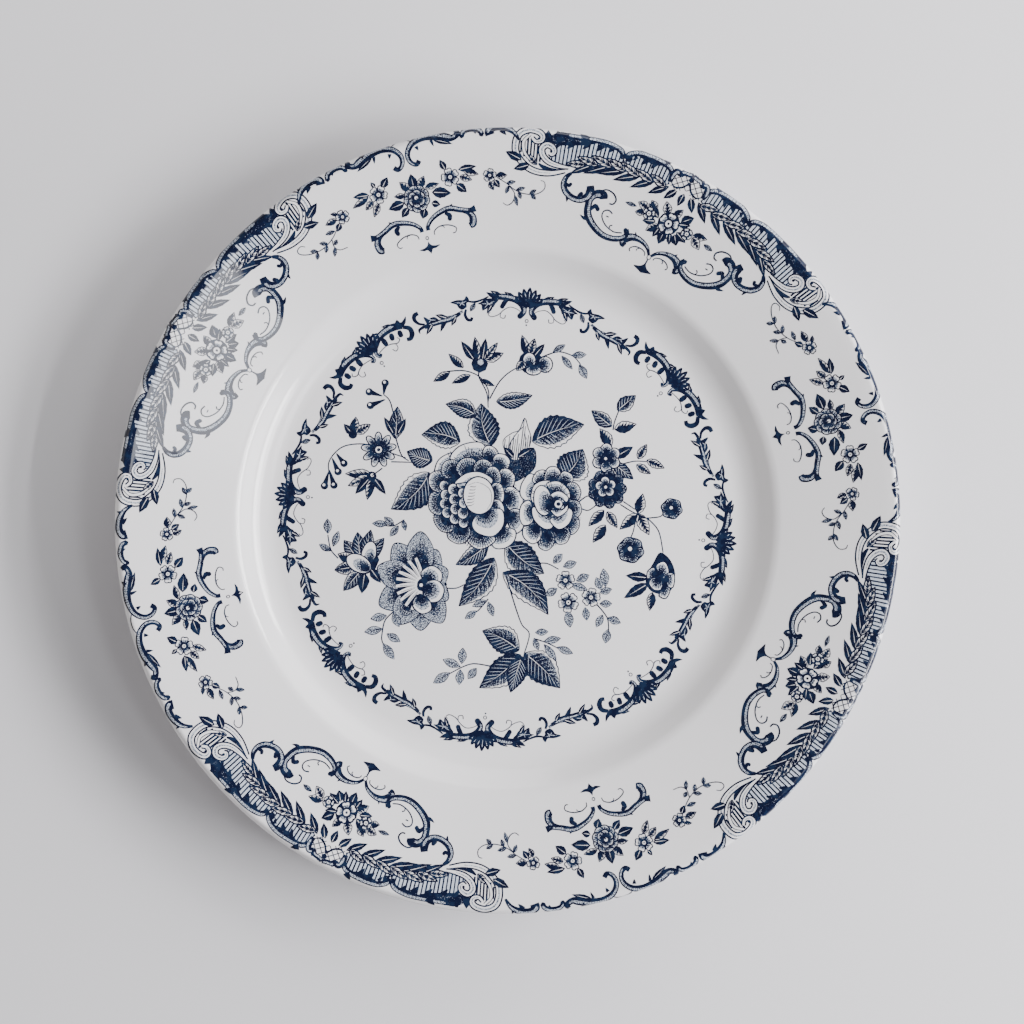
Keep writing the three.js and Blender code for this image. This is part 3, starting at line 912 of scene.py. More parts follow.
def left_rose(sheet):
    """The larger, looser rose, seen a little from its left."""
    heart = (-9.5, 8.5)
    sheet.lay(oval((-10, 8), 14.2, 14.8), DEEP)
    for shade, points in (
        (0.62, [(-24, 15), (-23.4, 19.5), (-20.5, 22), (-17, 22.5), (-15, 18), (-19, 15)]),
        (0.5, [(-19, 21), (-16, 24.8), (-11, 26.3), (-7.6, 25.6), (-6.5, 22), (-10, 18), (-16, 18)]),
        (0.6, [(-8, 22), (-7, 24.8), (-4.5, 24.8), (-2.6, 22.5), (-4, 19), (-7, 19)]),
        (0.55, [(-4.5, 20), (-3, 22.3), (0, 21.8), (1.5, 19.5), (0, 16.5), (-4, 16)]),
        (0.6, [(-2, 16.5), (0.5, 17.3), (3, 15), (2.8, 12), (1, 9.5), (-2, 11)]),
        (0.5, [(0, 10.5), (2.5, 11), (5.3, 8.5), (5.9, 5.5), (5.2, 2.8), (1.5, 3), (-0.5, 6)]),
        (0.5, [(2, 3.5), (4.8, 3.2), (6.6, 0), (5.8, -3), (3.5, -4.7), (1, -2), (0.5, 1.5)]),
        (0.45, [(3, -3.5), (3, -7), (0, -9.6), (-4, -9.6), (-5, -6), (-2, -3)]),
        (0.7, [(-3.5, -6.5), (-6, -9.2), (-9.5, -10), (-12.8, -7.8), (-13, -4.5), (-8, -3)]),
        (0.8, [(-12, -4), (-13.5, -7.4), (-16.5, -8.2), (-19.8, -6), (-19, -2.5), (-14, -1)]),
        (0.9, [(-18, -3.5), (-21.8, -4), (-24.4, -0.5), (-23.5, 2.5), (-19, 2)]),
        (0.85, [(-23, 1.5), (-26, 3.5), (-26, 8), (-23.5, 10), (-20, 7), (-20, 3)]),
        (0.7, [(-24, 9.5), (-26.2, 12), (-25.7, 15.5), (-22.5, 16.5), (-20, 13), (-21, 10)]),
        (0.8, [(-22, 16), (-21, 19.5), (-17.5, 20.3), (-15.5, 18), (-16.5, 15), (-20, 14)]),
        (0.8, [(-17, 17.5), (-15, 20.5), (-11.5, 20.8), (-9.5, 18.5), (-11, 15), (-15, 14.5)]),
        (0.75, [(-11, 18), (-9, 20.3), (-6, 20), (-4.3, 17.6), (-6, 14.5), (-10, 14.8)]),
        (0.7, [(-6.5, 17), (-4, 18), (-2, 16), (-1.8, 12.5), (-4, 10.5), (-7, 13)]),
        (0.6, [(-4.5, 12), (-2, 12.3), (-0.6, 9.5), (-1, 6), (-3.5, 5), (-5.5, 8)]),
        (0.45, [(-5, 6.5), (-2, 6.5), (-0.5, 3.5), (-1.5, 0.5), (-5, 1), (-6.5, 4)]),
    ):
        petal(sheet, points, heart, shade)
    sheet.lay(oval((-16.5, 5.5), 5.6, 8.2), DEEP)
    for centre, radius in (
        ((-21, 11.5), 1.5), ((-20.6, 8.4), 1.5), ((-21, 5.4), 1.4), ((-20, 2.4), 1.6), ((-17.4, 0.3), 1.6),
        ((-14.4, -1), 1.6), ((-17.9, 10.2), 1.7), ((-17.6, 6.9), 1.6), ((-17.2, 3.6), 1.6), ((-14.6, 2.2), 1.7),
        ((-15.2, 12.2), 1.5), ((-14.8, 9), 1.4), ((-14.4, 5.6), 1.5),
    ):
        petal(sheet, oval(centre, radius * 1.1, radius * 1.2), heart, 0.5, 5)
    petal(sheet, [(-17.5, 12.3), (-14, 15.5), (-9, 16.2), (-4.6, 13.8), (-5.6, 11.8), (-9.5, 13), (-14, 12.6)], heart, 0.4)
    petal(sheet, [(-11.5, -1), (-9, 2.4), (-5.5, 3.6), (-1.2, 3.2), (-0.8, -2), (-4.5, -5.8), (-10, -4.4)], heart, 0.35)
    sheet.patch(oval((-9.2, 8.2), 5.3, 6.4, 0.1), edge=0.4)
    for k in range(7):
        sheet.stroke([(-13.6 + k * 0.25, 4.6 + k * 1.1), (-11.8 + k * 0.2, 4.8 + k * 1.05), (-10.8 + k * 0.1, 5.4 + k)], (0.3, 0.2, 0.06), steps=3)
    sheet.stroke([(-13, 11.6), (-9.5, 12.6), (-5.6, 10.4), (-4.8, 6.6), (-6.4, 3.4)], (0.1, 0.2, 0.2, 0.1), MID)


def right_rose(sheet):
    """The smaller, rounder rose."""
    heart = (15.5, 4.5)
    sheet.lay(oval((15, 4), 9.4, 12.2), DEEP)
    for shade, points in (
        (0.3, [(5, 8), (5.3, 12), (8, 15.5), (10.5, 14), (10.5, 9), (8, 6)]),
        (0.6, [(9, 13), (10.5, 16.2), (13.5, 16.6), (14.5, 13.5), (12, 11.5)]),
        (0.6, [(13, 14.5), (14.5, 17.6), (17.5, 17.6), (19, 14.5), (17, 12), (14, 12)]),
        (0.65, [(18, 14.5), (19.8, 16.4), (22.6, 15), (22.5, 12), (20, 10.5), (17.5, 12)]),
        (0.7, [(21.5, 12.5), (24.2, 12), (25.6, 9), (24, 6), (21, 6.5), (20, 10)]),
        (0.75, [(22, 6.5), (24.8, 6), (25.8, 2.8), (24, 0.5), (21, 1.5), (20.5, 4.5)]),
        (0.75, [(22, 1), (24.6, 0.5), (24.9, -2.8), (22.5, -5.2), (19.8, -3.5), (20, -0.5)]),
        (0.75, [(20, -2.5), (22, -4.5), (20.6, -7.9), (17.5, -8.3), (15.8, -5.5), (17.5, -3)]),
        (0.8, [(16, -4.5), (16.5, -8), (14, -10.6), (11.2, -9.2), (11.5, -5.5), (13.5, -3.5)]),
        (0.5, [(12, -3), (11.8, -6.6), (9, -8.3), (6, -6), (6, -2.5), (9, -1)]),
        (0.4, [(9, -1), (6, -2), (4.6, 1), (5.3, 5), (8, 6.5), (9.5, 3)]),
        (0.5, [(8.5, 7), (9.5, 11.5), (13, 13.2), (16, 12.5), (13, 9), (10.5, 5)]),
        (0.6, [(14, 12.3), (18, 12.9), (21.4, 10), (21.6, 7), (18, 8), (15, 10)]),
        (0.3, [(9, 4), (9.5, 0), (13, -3.2), (16, -2.6), (15.5, 1), (12, 3.5)]),
        (0.35, [(15, -0.5), (18, -3.4), (21.5, -1.5), (22.8, 2.5), (20.5, 4), (17, 1.5)]),
    ):
        petal(sheet, points, heart, shade)
    sheet.dot((17.6, 5.4), 4.3, DEEP)
    petal(sheet, oval((12.6, 6.4), 3.1, 5.2, 0.15), heart, 0.4)
    petal(sheet, [(15.4, 8.6), (18.2, 9.6), (21.2, 7.6), (20.6, 5.8), (18.4, 7.4), (16.2, 7.2)], heart, 0.3, 5)
    petal(sheet, [(15.2, 3), (17.6, 0.8), (20.8, 2.8), (21, 5), (19.4, 3.4), (17, 3.2)], heart, 0.3, 5)
    sheet.dot((17.9, 5.2), 1.3, BARE)
    sheet.dot((17.9, 5.2), 0.7, DEEP)


def rosebud(sheet):
    """The bud between the roses, with its hatched sepals."""
    sepals = sheet.patch([(0, 21), (4.5, 22.6), (9.5, 24.2), (10, 18), (6, 14.2), (2, 12.8), (0.2, 17)], 0.78)
    sheet.hatch(sepals, 1.2, 0.75, 0.34, shorten=0.3, waver=0.4)
    bud = sheet.patch([(-0.8, 27), (2.2, 29.4), (4.6, 30.4), (6.4, 34.4), (7.6, 31), (8.6, 27), (6.4, 21.6), (2.5, 20.2), (-0.4, 23.5)])
    sheet.stroke([(1.6, 21), (1.2, 25), (3.2, 28.6), (6, 31.6)], (0.3, 0.34, 0.2))
    sheet.stroke([(5.6, 21.6), (6.8, 25.5), (6.4, 29.5)], (0.3, 0.3, 0.15))
    sheet.hatch(bud, 1.45, 0.7, 0.3, shorten=0.6, waver=0.4)
    sheet.leaf((4, 21), (9.6, 24.4), 1.5, dark=2)
    sheet.leaf((2.6, 21), (-0.8, 24.6), 1.3, dark=2)


def big_leaves(sheet):
    """The large toothed leaves round the roses."""
    for base, tip, breadth, bend, dark in (
        ((-15.5, 26.5), (-28.6, 28.8), 4.4, -0.1, -1), ((-5, 25), (-8.4, 39.4), 5.2, 0.08, -1),
        ((-10, 35.2), (-20.4, 39.2), 3, -0.08, 1), ((9, 26.5), (26.6, 32.2), 5.3, 0.05, 1),
        ((19, 14), (26.2, 23.8), 5.6, -0.08, 1), ((-25, 20), (-33.6, 23.2), 3.4, 0.05, 2),
        ((-26, 16), (-39, 3.6), 5.3, 0.1, 1), ((-6, -8), (-17, -15.3), 3, 0.06, 1),
        ((-4, -13), (-16, -29.4), 4.7, 0.06, -1), ((0, -8), (13, -18.4), 5.2, -0.06, 1),
        ((-1, -18), (14.4, -32.4), 4.8, 0.1, 1), ((4.5, -44.5), (-8, -37.8), 4.5, -0.06, 1),
        ((5, -46), (-9, -57.2), 4.7, 0.05, -1), ((6.3, -45.5), (18.4, -57.4), 5.2, 0.04, -1),
        ((5.4, -46.5), (1.6, -58.8), 3.3, 0, 2), ((-3.2, 40), (9, 42.2), 2.7, -0.05, -1),
    ):
        sheet.leaf(base, tip, breadth, bend=bend, dark=dark, teeth=8, veins=8, edge=0.3)
    for points in (
        ((0, -19), (2.4, -27), (4, -32), (5.6, -36), (8, -39), (6.3, -45.5)),
        ((-9.2, 50.3), (-9, 48), (-6.5, 43), (-6, 38)), ((-20, 50.3), (-14, 50.5), (-9, 48.5), (-6, 44), (-6, 40)),
        ((-5.5, 41), (-2, 47), (2, 50.5), (6.5, 52.6)), ((12, 55), (16, 56.5), (19, 56.8), (23, 55.3), (25.5, 52.5)),
        ((-37.3, 27.5), (-35.5, 22), (-33, 20)), ((-38.3, 36.5), (-39.5, 40.5), (-41.5, 42.5)),
        ((-43, 25), (-50, 25.8), (-56, 24.5), (-60, 20), (-60, 15.5)), ((-42, 17.5), (-45.5, 15)), ((-39, 19.7), (-32, 19.5)),
        ((-40, 23), (-34, 21)), ((-34.5, 0), (-38, -2), (-41, -2)), ((-21, -23.2), (-17, -23.3), (-14, -22)),
        ((-38, -31), (-41, -34), (-42, -38), (-42, -41.5), (-39, -46.5)), ((-57, -13), (-59.5, -10), (-60.5, -5)),
        ((-5.5, -49.8), (-11, -49), (-15, -50.2), (-19, -52.3)), ((-6, -27), (-9, -30.5), (-11, -32)),
        ((36.5, 30.3), (37, 33), (38.5, 37)), ((40, 18.8), (44, 19.7), (48, 19.5)), ((25, 6), (27.5, 7.8), (29, 7.6)),
        ((25, 4), (28, 3), (31, 5)), ((40, 6), (44, 3.3)), ((48, 0.3), (52.5, 0.8), (54, 2.4)),
        ((48, 0.5), (52, -4), (53.6, -11.5)), ((10.5, -15), (14, -15), (18, -17)), ((31, -29), (34.5, -33.5), (35, -38)),
        ((9.5, -40.5), (14, -42), (18, -44)), ((39, 5), (43, 2.5), (48, 0.3)),
    ):
        sheet.stroke(points, (0.46, 0.36))


def top_flowers(sheet):
    """The two bell flowers over the roses and their slim leaves."""
    sheet.lay(oval((-8.9, 52.9), 2.9, 3.1), DEEP)
    for base, tip, breadth, dark in (
        ((-10.6, 54), (-15.2, 60.6), 1.5, 2), ((-9.4, 54), (-10.6, 62), 1.5, 1), ((-8, 54), (-6.8, 61.6), 1.4, 2),
        ((-7, 54), (-0.8, 56.6), 1.6, 1), ((-7.4, 54), (-2.8, 60), 1.2, 0),
    ):
        sheet.leaf(base, tip, breadth, dark=dark, teeth=2, veins=4)
    sheet.dot((-8.6, 53.4), 1.0, PALE)
    for base, tip, breadth in (((-14.5, 51.5), (-19.5, 56.2), 1.4), ((-19, 50), (-24.6, 46.8), 1.4), ((-12, 49), (-18.3, 46.2), 1.3), ((-8.6, 47.6), (-3.8, 45.4), 0.9)):
        sheet.leaf(base, tip, breadth, dark=1, teeth=0, veins=5)
    sheet.dot((8.4, 53.4), 4.1, DEEP)
    for base, tip, breadth, dark in (
        ((7.4, 55.6), (5.4, 62.6), 1.5, 1), ((8.2, 56), (9.8, 61.4), 1.4, 0), ((9.6, 55.4), (13.2, 59.6), 1.3, 2),
        ((6.4, 53.6), (3.6, 50.6), 1.5, 0),
    ):
        sheet.leaf(base, tip, breadth, dark=dark, teeth=2, veins=4)
    petal(sheet, oval((8, 54), 2.2, 2.6), (8, 50), 0.5, 6)
    petal(sheet, oval((13.4, 52.6), 2.5, 2.7), (10, 52), 0.6, 7)
    petal(sheet, oval((9.4, 50.6), 2.6, 1.6), (9, 54), 0.5, 6)
    for base, tip, breadth in (((16, 56.7), (20.2, 59.3), 1.0), ((19, 55.5), (22.6, 51), 1.0), ((22.5, 55.7), (27.4, 55.9), 1.1), ((25, 52.5), (27.5, 47.8), 1.3)):
        sheet.leaflet(base, tip, breadth)


def left_flowers(sheet):
    """The star flower, buds, drops and lily bud left of the roses."""
    sheet.dot((-43.2, 23.8), 3.6, DEEP)
    for k in range(9):
        lean = 0.2 + math.tau * k / 9
        petal(sheet, oval(reach((-43.2, 23.8), 3.7, lean), 2.3, 1.15, lean), (-43.2, 23.8), 0.5, 4)
    sheet.ring((-43.2, 23.8), 1.5, 0.35)
    sheet.dot((-43.2, 23.8), 0.6)
    for base, tip, breadth, dark in (
        ((-37.5, 27.5), (-36.8, 38.4), 2.6, 1), ((-38, 29), (-41.4, 34.9), 1.2, 2), ((-36.8, 29), (-34, 34.4), 1.3, 2),
        ((-51.8, 29), (-51, 35), 1.7, 1), ((-51, 29.4), (-46, 32.4), 1.5, 0), ((-52, 29), (-55, 32.6), 1.3, 2),
        ((-45.5, 15.4), (-54.6, 15.6), 1.7, 1), ((-46, 14.8), (-53.6, 11.6), 1.6, 0), ((-46, 14.5), (-51.2, 8.8), 1.6, 2),
        ((-45.5, 14), (-47, 6.8), 1.5, 1), ((-45, 14.4), (-40.8, 8.6), 1.4, 2),
    ):
        sheet.leaf(base, tip, breadth, dark=dark, teeth=2, veins=4)
    sheet.dot((-52, 29), 1.5)
    sheet.dot((-45.6, 14.8), 1.7)
    sheet.dot((-45.4, 15.2), 0.6, BARE)
    for base, tip in (
        ((-41.5, 42.5), (-41, 46.4)), ((-42, 42), (-46.4, 43.4)), ((-41, 40.8), (-46, 38.8)), ((-57.6, 22.6), (-55, 19.2)),
        ((-59, 21), (-57, 16.4)), ((-60, 17), (-58.4, 11.8)), ((-60.2, 16.4), (-61.6, 11.6)),
    ):
        sheet.stroke([base, ((base[0] + tip[0]) / 2, (base[1] + tip[1]) / 2), tip], (0.3, 1.2, 2.2), steps=4)
        sheet.dot(tip, 1.3)
        sheet.dot(reach(tip, 0.4, 2.2), 0.5, BARE)
    for base, tip, breadth in (
        ((-38, -2), (-41.3, 1), 1.1), ((-40, -1.4), (-45.4, -1.2), 1.1), ((-36.5, -2), (-39.4, -5.6), 1.1), ((-35, 0), (-34.1, -3.7), 0.8),
        ((-60.5, -4.6), (-60.6, 0.4), 1.3), ((-58.7, -9), (-56.8, -3.8), 1.1), ((-59.5, -10.5), (-63.4, -8.2), 1.0),
    ):
        sheet.leaflet(base, tip, breadth)
    sheet.lay(oval((-48.4, -13.6), 5.4, 5.2), DEEP)
    for base, tip, breadth, dark in (
        ((-50.5, -13), (-55, -6.9), 2.3, 1), ((-49.6, -12.5), (-50.4, -4.2), 2.3, 2), ((-48, -12.5), (-45.9, -3.4), 2.2, 1),
        ((-47, -13), (-41.4, -6.2), 2.2, -1), ((-51.5, -14), (-57.2, -11.6), 2, 1), ((-52, -16), (-58.2, -17), 2.1, 0),
        ((-49.5, -17.5), (-55.2, -24), 2.3, 1), ((-48, -18), (-49, -25), 2, 2), ((-46, -16.5), (-42.5, -21.4), 1.6, 2),
    ):
        sheet.leaf(base, tip, breadth, dark=dark, teeth=2, veins=5)
    petal(sheet, oval((-46.6, -11.6), 2.5, 4.4, -0.25), (-45.6, -17), 0.3, 6)
    petal(sheet, oval((-50, -14.8), 4.6, 2.9, -0.5), (-45.8, -17.4), 0.3, 7)


def sepal(sheet, heart, tip, breadth):
    """A wide soft petal with a small point, shaded towards the heart."""
    lean = math.atan2(tip[1] - heart[1], tip[0] - heart[0])
    length = math.dist(heart, tip)
    places = ((0.3, 0.7), (0.62, 1), (0.86, 0.62), (1, 0), (0.86, -0.62), (0.62, -1), (0.3, -0.7))
    points = [reach(reach(heart, length * along, lean), breadth * across, lean + math.pi / 2) for along, across in places]
    sheet.patch(points, 0.5, edge=0.3)
    for share, tone in ((0.8, MID), (0.66, 0.84)):
        sheet.lay([tuple(h + (p - h) * share for h, p in zip(heart, point)) for point in spline(points, closed=True, steps=2)], tone)
    for turn in (-0.2, -0.1, 0, 0.1, 0.2):
        sheet.stroke([reach(heart, length * 0.5, lean + turn), reach(heart, length * (0.92 - abs(turn)), lean + turn)], (0.3, 0.1), DEEP, steps=2)


def clematis(sheet):
    """The big ragged flower at the lower left, its stamens spread to its left."""
    heart = (-29.5, -22)
    sheet.lay(oval(heart, 9.5, 11), DEEP)
    for tip, breadth in (
        ((-37.8, -8), 4.6), ((-23.4, -10.2), 4.2), ((-43, -29), 4.8), ((-29, -37.6), 4.6), ((-19.6, -27), 4.2), ((-19.8, -17), 4.2),
        ((-29, -4), 4.7), ((-43.6, -16), 4.8), ((-36.6, -35.4), 4.6), ((-21.6, -35), 4.4),
    ):
        sepal(sheet, heart, tip, breadth)
    sheet.lay(oval((-30, -21.6), 7.6, 8), DEEP)
    for k in range(11):
        lean = math.pi - 1.35 + k * 0.27
        sheet.stroke([reach((-28, -22), 2.2, lean), reach((-28, -22), 5.5, lean), reach((-28, -22), 9.4, lean + 0.06)], (0.6, 1.15, 0.9), BARE, steps=3)
        sheet.stroke([reach((-28, -22), 3, lean + 0.03), reach((-28, -22), 8, lean + 0.05)], (0.1, 0.2), MID, steps=2)
    for points in (
        [(-28.6, -17.4), (-25, -15.6), (-21.8, -18), (-22.4, -21.4), (-26, -21.6), (-28.4, -20)],
        [(-27.4, -21.4), (-23.4, -20.6), (-21, -23.6), (-22.4, -27.4), (-26, -28), (-28.2, -25)],
        [(-28.8, -25.4), (-26, -27.4), (-25.4, -30.6), (-28.6, -32), (-31.6, -29.6), (-31, -26.4)],
    ):
        petal(sheet, points, (-29.5, -22.4), 0.5, 8)
    sheet.dot((-28.6, -22.6), 1.7)
    sheet.dot((-28.8, -22.2), 0.6, BARE)


def right_flowers(sheet):
    """The cup flower, the ruffled round flower, the balls and the bellflower on the right."""
    for base, tip, breadth, dark in (
        ((38, 37), (44.2, 42), 2.4, 1), ((36, 31.5), (29.2, 36.9), 2.3, 1), ((37, 30.5), (44.5, 32.2), 2, -1), ((36, 25), (31.9, 30.8), 1.9, 1),
        ((45, 20.5), (48, 25.4), 1.4, 0), ((48, 20), (54, 17.3), 1.4, 0), ((44.5, 18.5), (49.3, 15.4), 1.3, 0),
        ((37, 21), (43.4, 24.6), 1.8, 2), ((36.6, 19), (43.4, 13.6), 2.1, 2), ((45, 1.8), (46.6, 8.7), 1.8, 1),
        ((45, 1.8), (38.8, -3.6), 1.8, 1), ((45, 1.8), (48.8, -5.4), 1.9, 0), ((33.5, 3), (28.2, -2.4), 1.7, 1),
        ((34.5, 2.5), (37.9, -2.9), 1.5, 0), ((34, -2), (29.7, -8), 1.8, 1), ((48.5, -20), (40.8, -19.2), 1.7, 2),
        ((48.5, -22), (40.2, -26.9), 1.9, 2), ((50, -25), (49.1, -31.2), 1.5, 1),
    ):
        sheet.leaf(base, tip, breadth, dark=dark, teeth=4, veins=5)
    sheet.lay(oval((34.3, 20.6), 4.2, 4.6), DEEP)
    for k in range(6):
        lean = 0.5 + k * math.tau / 6
        petal(sheet, oval(reach((34.2, 20.8), 3.1, lean), 1.9, 1.9), (34.2, 20.8), 0.55, 6)
    sheet.dot((34, 20.6), 1.6)
    sheet.dot((34, 20.6), 0.5, BARE)
    sheet.lay(oval((34.5, 10.3), 6.4, 6.2), DEEP)
    for k in range(9):
        lean = k * math.tau / 9
        petal(sheet, oval(reach((34.5, 10.3), 5, lean), 1.6, 1.7), (34.5, 10.3), 1.0, 9, WASH)
    sheet.dot((34.3, 10.6), 4.0)
    for k in range(5):
        petal(sheet, oval(reach((34, 10.9), 2.1, 0.4 + k * math.tau / 5), 1.5, 1.5), (34, 10.9), 0.45, 5)
    sheet.ring((34, 10.9), 1.0, 0.5)
    for centre, radius in (((56.5, 3.5), 3.6), ((42.5, -10.5), 4.5)):
        sheet.dot(centre, radius)
        for k in range(6):
            petal(sheet, oval(reach(centre, radius * 0.62, 0.8 + k * math.tau / 6), radius * 0.4, radius * 0.36), centre, 0.8, 6, WASH if k % 2 else BARE)
        sheet.dot(centre, radius * 0.36)
        sheet.dot(reach(centre, radius * 0.1, 2.0), radius * 0.16, BARE)
    sheet.stroke([(42.6, -6.2), (43.4, -4.2), (44, -1.6), (45, 1.8)], (0.4, 0.3))
    sheet.lay(spline([(50.4, -14.6), (52.6, -11.4), (55.8, -13.6), (57.6, -18), (57, -23), (54.4, -25.6), (49.6, -24.6), (47.6, -20.6)], closed=True), DEEP)
    for points in (
        [(51.4, -15.6), (54.2, -14.6), (55.6, -18), (54.2, -20.4), (51.6, -19)], [(55, -18.6), (57.4, -19), (57, -23.2), (54.8, -22.6)],
        [(50, -20), (52.8, -20.6), (53.2, -23.8), (50.6, -24.2), (48.8, -22)], [(48.4, -17.6), (50.6, -16.6), (50.4, -19.6), (48.2, -20.4)],
        [(53.6, -23), (56, -23.8), (54.6, -27), (52.2, -26)],
    ):
        petal(sheet, points, (52.4, -19.6), 0.6, 6)


def forget_me_nots(sheet):
    """The pale sprigs of small flowers at the lower right and below."""
    for base, tip, breadth in (
        ((16.2, -15), (19.2, -11.8), 1.3), ((19.5, -16.2), (24.1, -14.6), 1.3), ((24, -21), (28.4, -19), 1.4), ((22, -22), (27.8, -24), 1.2),
        ((17.5, -23.5), (13.4, -25.9), 1.3), ((21, -31), (21.9, -36.8), 1.5), ((27, -30), (27.6, -34.4), 1.2), ((32.5, -24), (30.8, -19.8), 1.3),
        ((34, -23), (33.2, -16.8), 1.5), ((32, -25), (36.1, -23.8), 1.2), ((32, -28.8), (36.1, -28.8), 1.2), ((33, -32.5), (30.8, -36.7), 1.2),
        ((34.8, -33.5), (39.1, -35.4), 1.3), ((34.8, -37.5), (33.9, -42.2), 1.4), ((10, -38.5), (14.4, -38.2), 1.1), ((13, -41.5), (18.7, -40.5), 1.2),
        ((17.5, -43.5), (22.8, -45.7), 1.2), ((13, -42.5), (17.2, -47.9), 1.2), ((9.5, -40.5), (11.1, -44.4), 1.0),
        ((-19, -52), (-24.7, -55.5), 1.5), ((-15.5, -50), (-21.4, -47.5), 1.4), ((-15, -49), (-14.6, -43.6), 1.4), ((-15.5, -51), (-15.9, -56.1), 1.4),
        ((-10, -50.5), (-12.9, -54.1), 1.3), ((-6.5, -27.5), (-11.4, -29.5), 1.1), ((-10, -31), (-13.9, -33.7), 1.1), ((-6, -28), (-4.3, -32.9), 1.1),
        ((-40.5, -32.5), (-46, -33.6), 1.4), ((-38.3, -31.5), (-36.3, -36.4), 1.4), ((-42, -37), (-48.1, -38.1), 1.4),
        ((-40.5, -38.7), (-36, -41.4), 1.3), ((-41.8, -42), (-38, -47.4), 1.4),
    ):
        sheet.leaflet(base, tip, breadth, 0.72)
    for centre, radius, turn in (((20.3, -20.8), 3.2, 0.3), ((21.3, -28.3), 3.5, 0.8), ((29, -26.6), 3.2, 0.1)):
        sheet.flower(centre, radius, turn=turn, tone=0.85)


# ---------------------------------------------------------------------------- node groups


def node_tree(name, kind, inputs, outputs):
    """An empty node group with named sockets, and its two ends."""
    tree = bpy.data.node_groups.new(name, kind)
    for label, socket, default, note in inputs:
        made = tree.interface.new_socket(label, in_out="INPUT", socket_type=socket)
        made.description = note
        if default is not None:
            made.default_value = default
    for label, socket in outputs:
        tree.interface.new_socket(label, in_out="OUTPUT", socket_type=socket)
    return tree, tree.nodes.new("NodeGroupInput"), tree.nodes.new("NodeGroupOutput")


def node(tree, kind, settings=(), sockets=()):
    """A node with its settings, and its sockets given a value or another node's output."""
    made = tree.nodes.new(kind)
    for name, value in dict(settings).items():
        setattr(made, name, value)
    for name, value in dict(sockets).items():
        if isinstance(value, bpy.types.NodeSocket):
            tree.links.new(value, made.inputs[name])
        else:
            made.inputs[name].default_value = value
    return made


def lathe_nodes():
    """Turns a section about the axis. The section's points are the input's vertices, in order."""
    tree, start, end = node_tree(
        "plate_lathe",
        "GeometryNodeTree",
        (
            ("Section", "NodeSocketGeometry", None, "The section, from the underside's centre to the well's"),
            ("Segments", "NodeSocketInt", 288, "Facets round the plate"),
            ("Glaze", "NodeSocketMaterial", None, "Material of the whole body"),
        ),
        (("Body", "NodeSocketGeometry"),),
    )
    section, segments = start.outputs["Section"], start.outputs["Segments"]
    size = node(tree, "GeometryNodeAttributeDomainSize", {"component": "MESH"}, {0: section})
    rows = size.outputs["Point Count"]
    columns = node(tree, "FunctionNodeIntegerMath", {"operation": "ADD"}, {0: segments, 1: 1})
    grid = node(tree, "GeometryNodeMeshGrid", (), {"Vertices X": columns.outputs[0], "Vertices Y": rows})
    index = node(tree, "GeometryNodeInputIndex").outputs[0]
    row = node(tree, "FunctionNodeIntegerMath", {"operation": "MODULO"}, {0: index, 1: rows})
    column = node(tree, "FunctionNodeIntegerMath", {"operation": "DIVIDE_FLOOR"}, {0: index, 1: rows})
    place = node(tree, "GeometryNodeInputPosition").outputs[0]
    sampled = node(tree, "GeometryNodeSampleIndex", {"data_type": "FLOAT_VECTOR", "domain": "POINT"}, {"Geometry": section, "Value": place, "Index": row.outputs[0]})
    share = node(tree, "ShaderNodeMath", {"operation": "DIVIDE"}, {0: column.outputs[0], 1: segments})
    turn = node(tree, "ShaderNodeMath", {"operation": "MULTIPLY"}, {0: share.outputs[0], 1: math.tau})
    turned = node(tree, "ShaderNodeVectorRotate", {"rotation_type": "Z_AXIS"}, {"Vector": sampled.outputs["Value"], "Angle": turn.outputs[0]})
    moved = node(tree, "GeometryNodeSetPosition", (), {"Geometry": grid.outputs["Mesh"], "Position": turned.outputs[0]})
    closed = node(tree, "GeometryNodeMergeByDistance", (), {"Geometry": moved.outputs[0], "Distance": 0.002 * MM})
    smooth = node(tree, "GeometryNodeSetShadeSmooth", (), {"Geometry": closed.outputs[0]})
    whole = node(tree, "GeometryNodeRealizeInstances", (), {"Geometry": smooth.outputs[0]})
    glazed = node(tree, "GeometryNodeSetMaterial", (), {"Geometry": whole.outputs[0], "Material": start.outputs["Glaze"]})
    tree.links.new(glazed.outputs[0], end.inputs["Body"])
    return tree


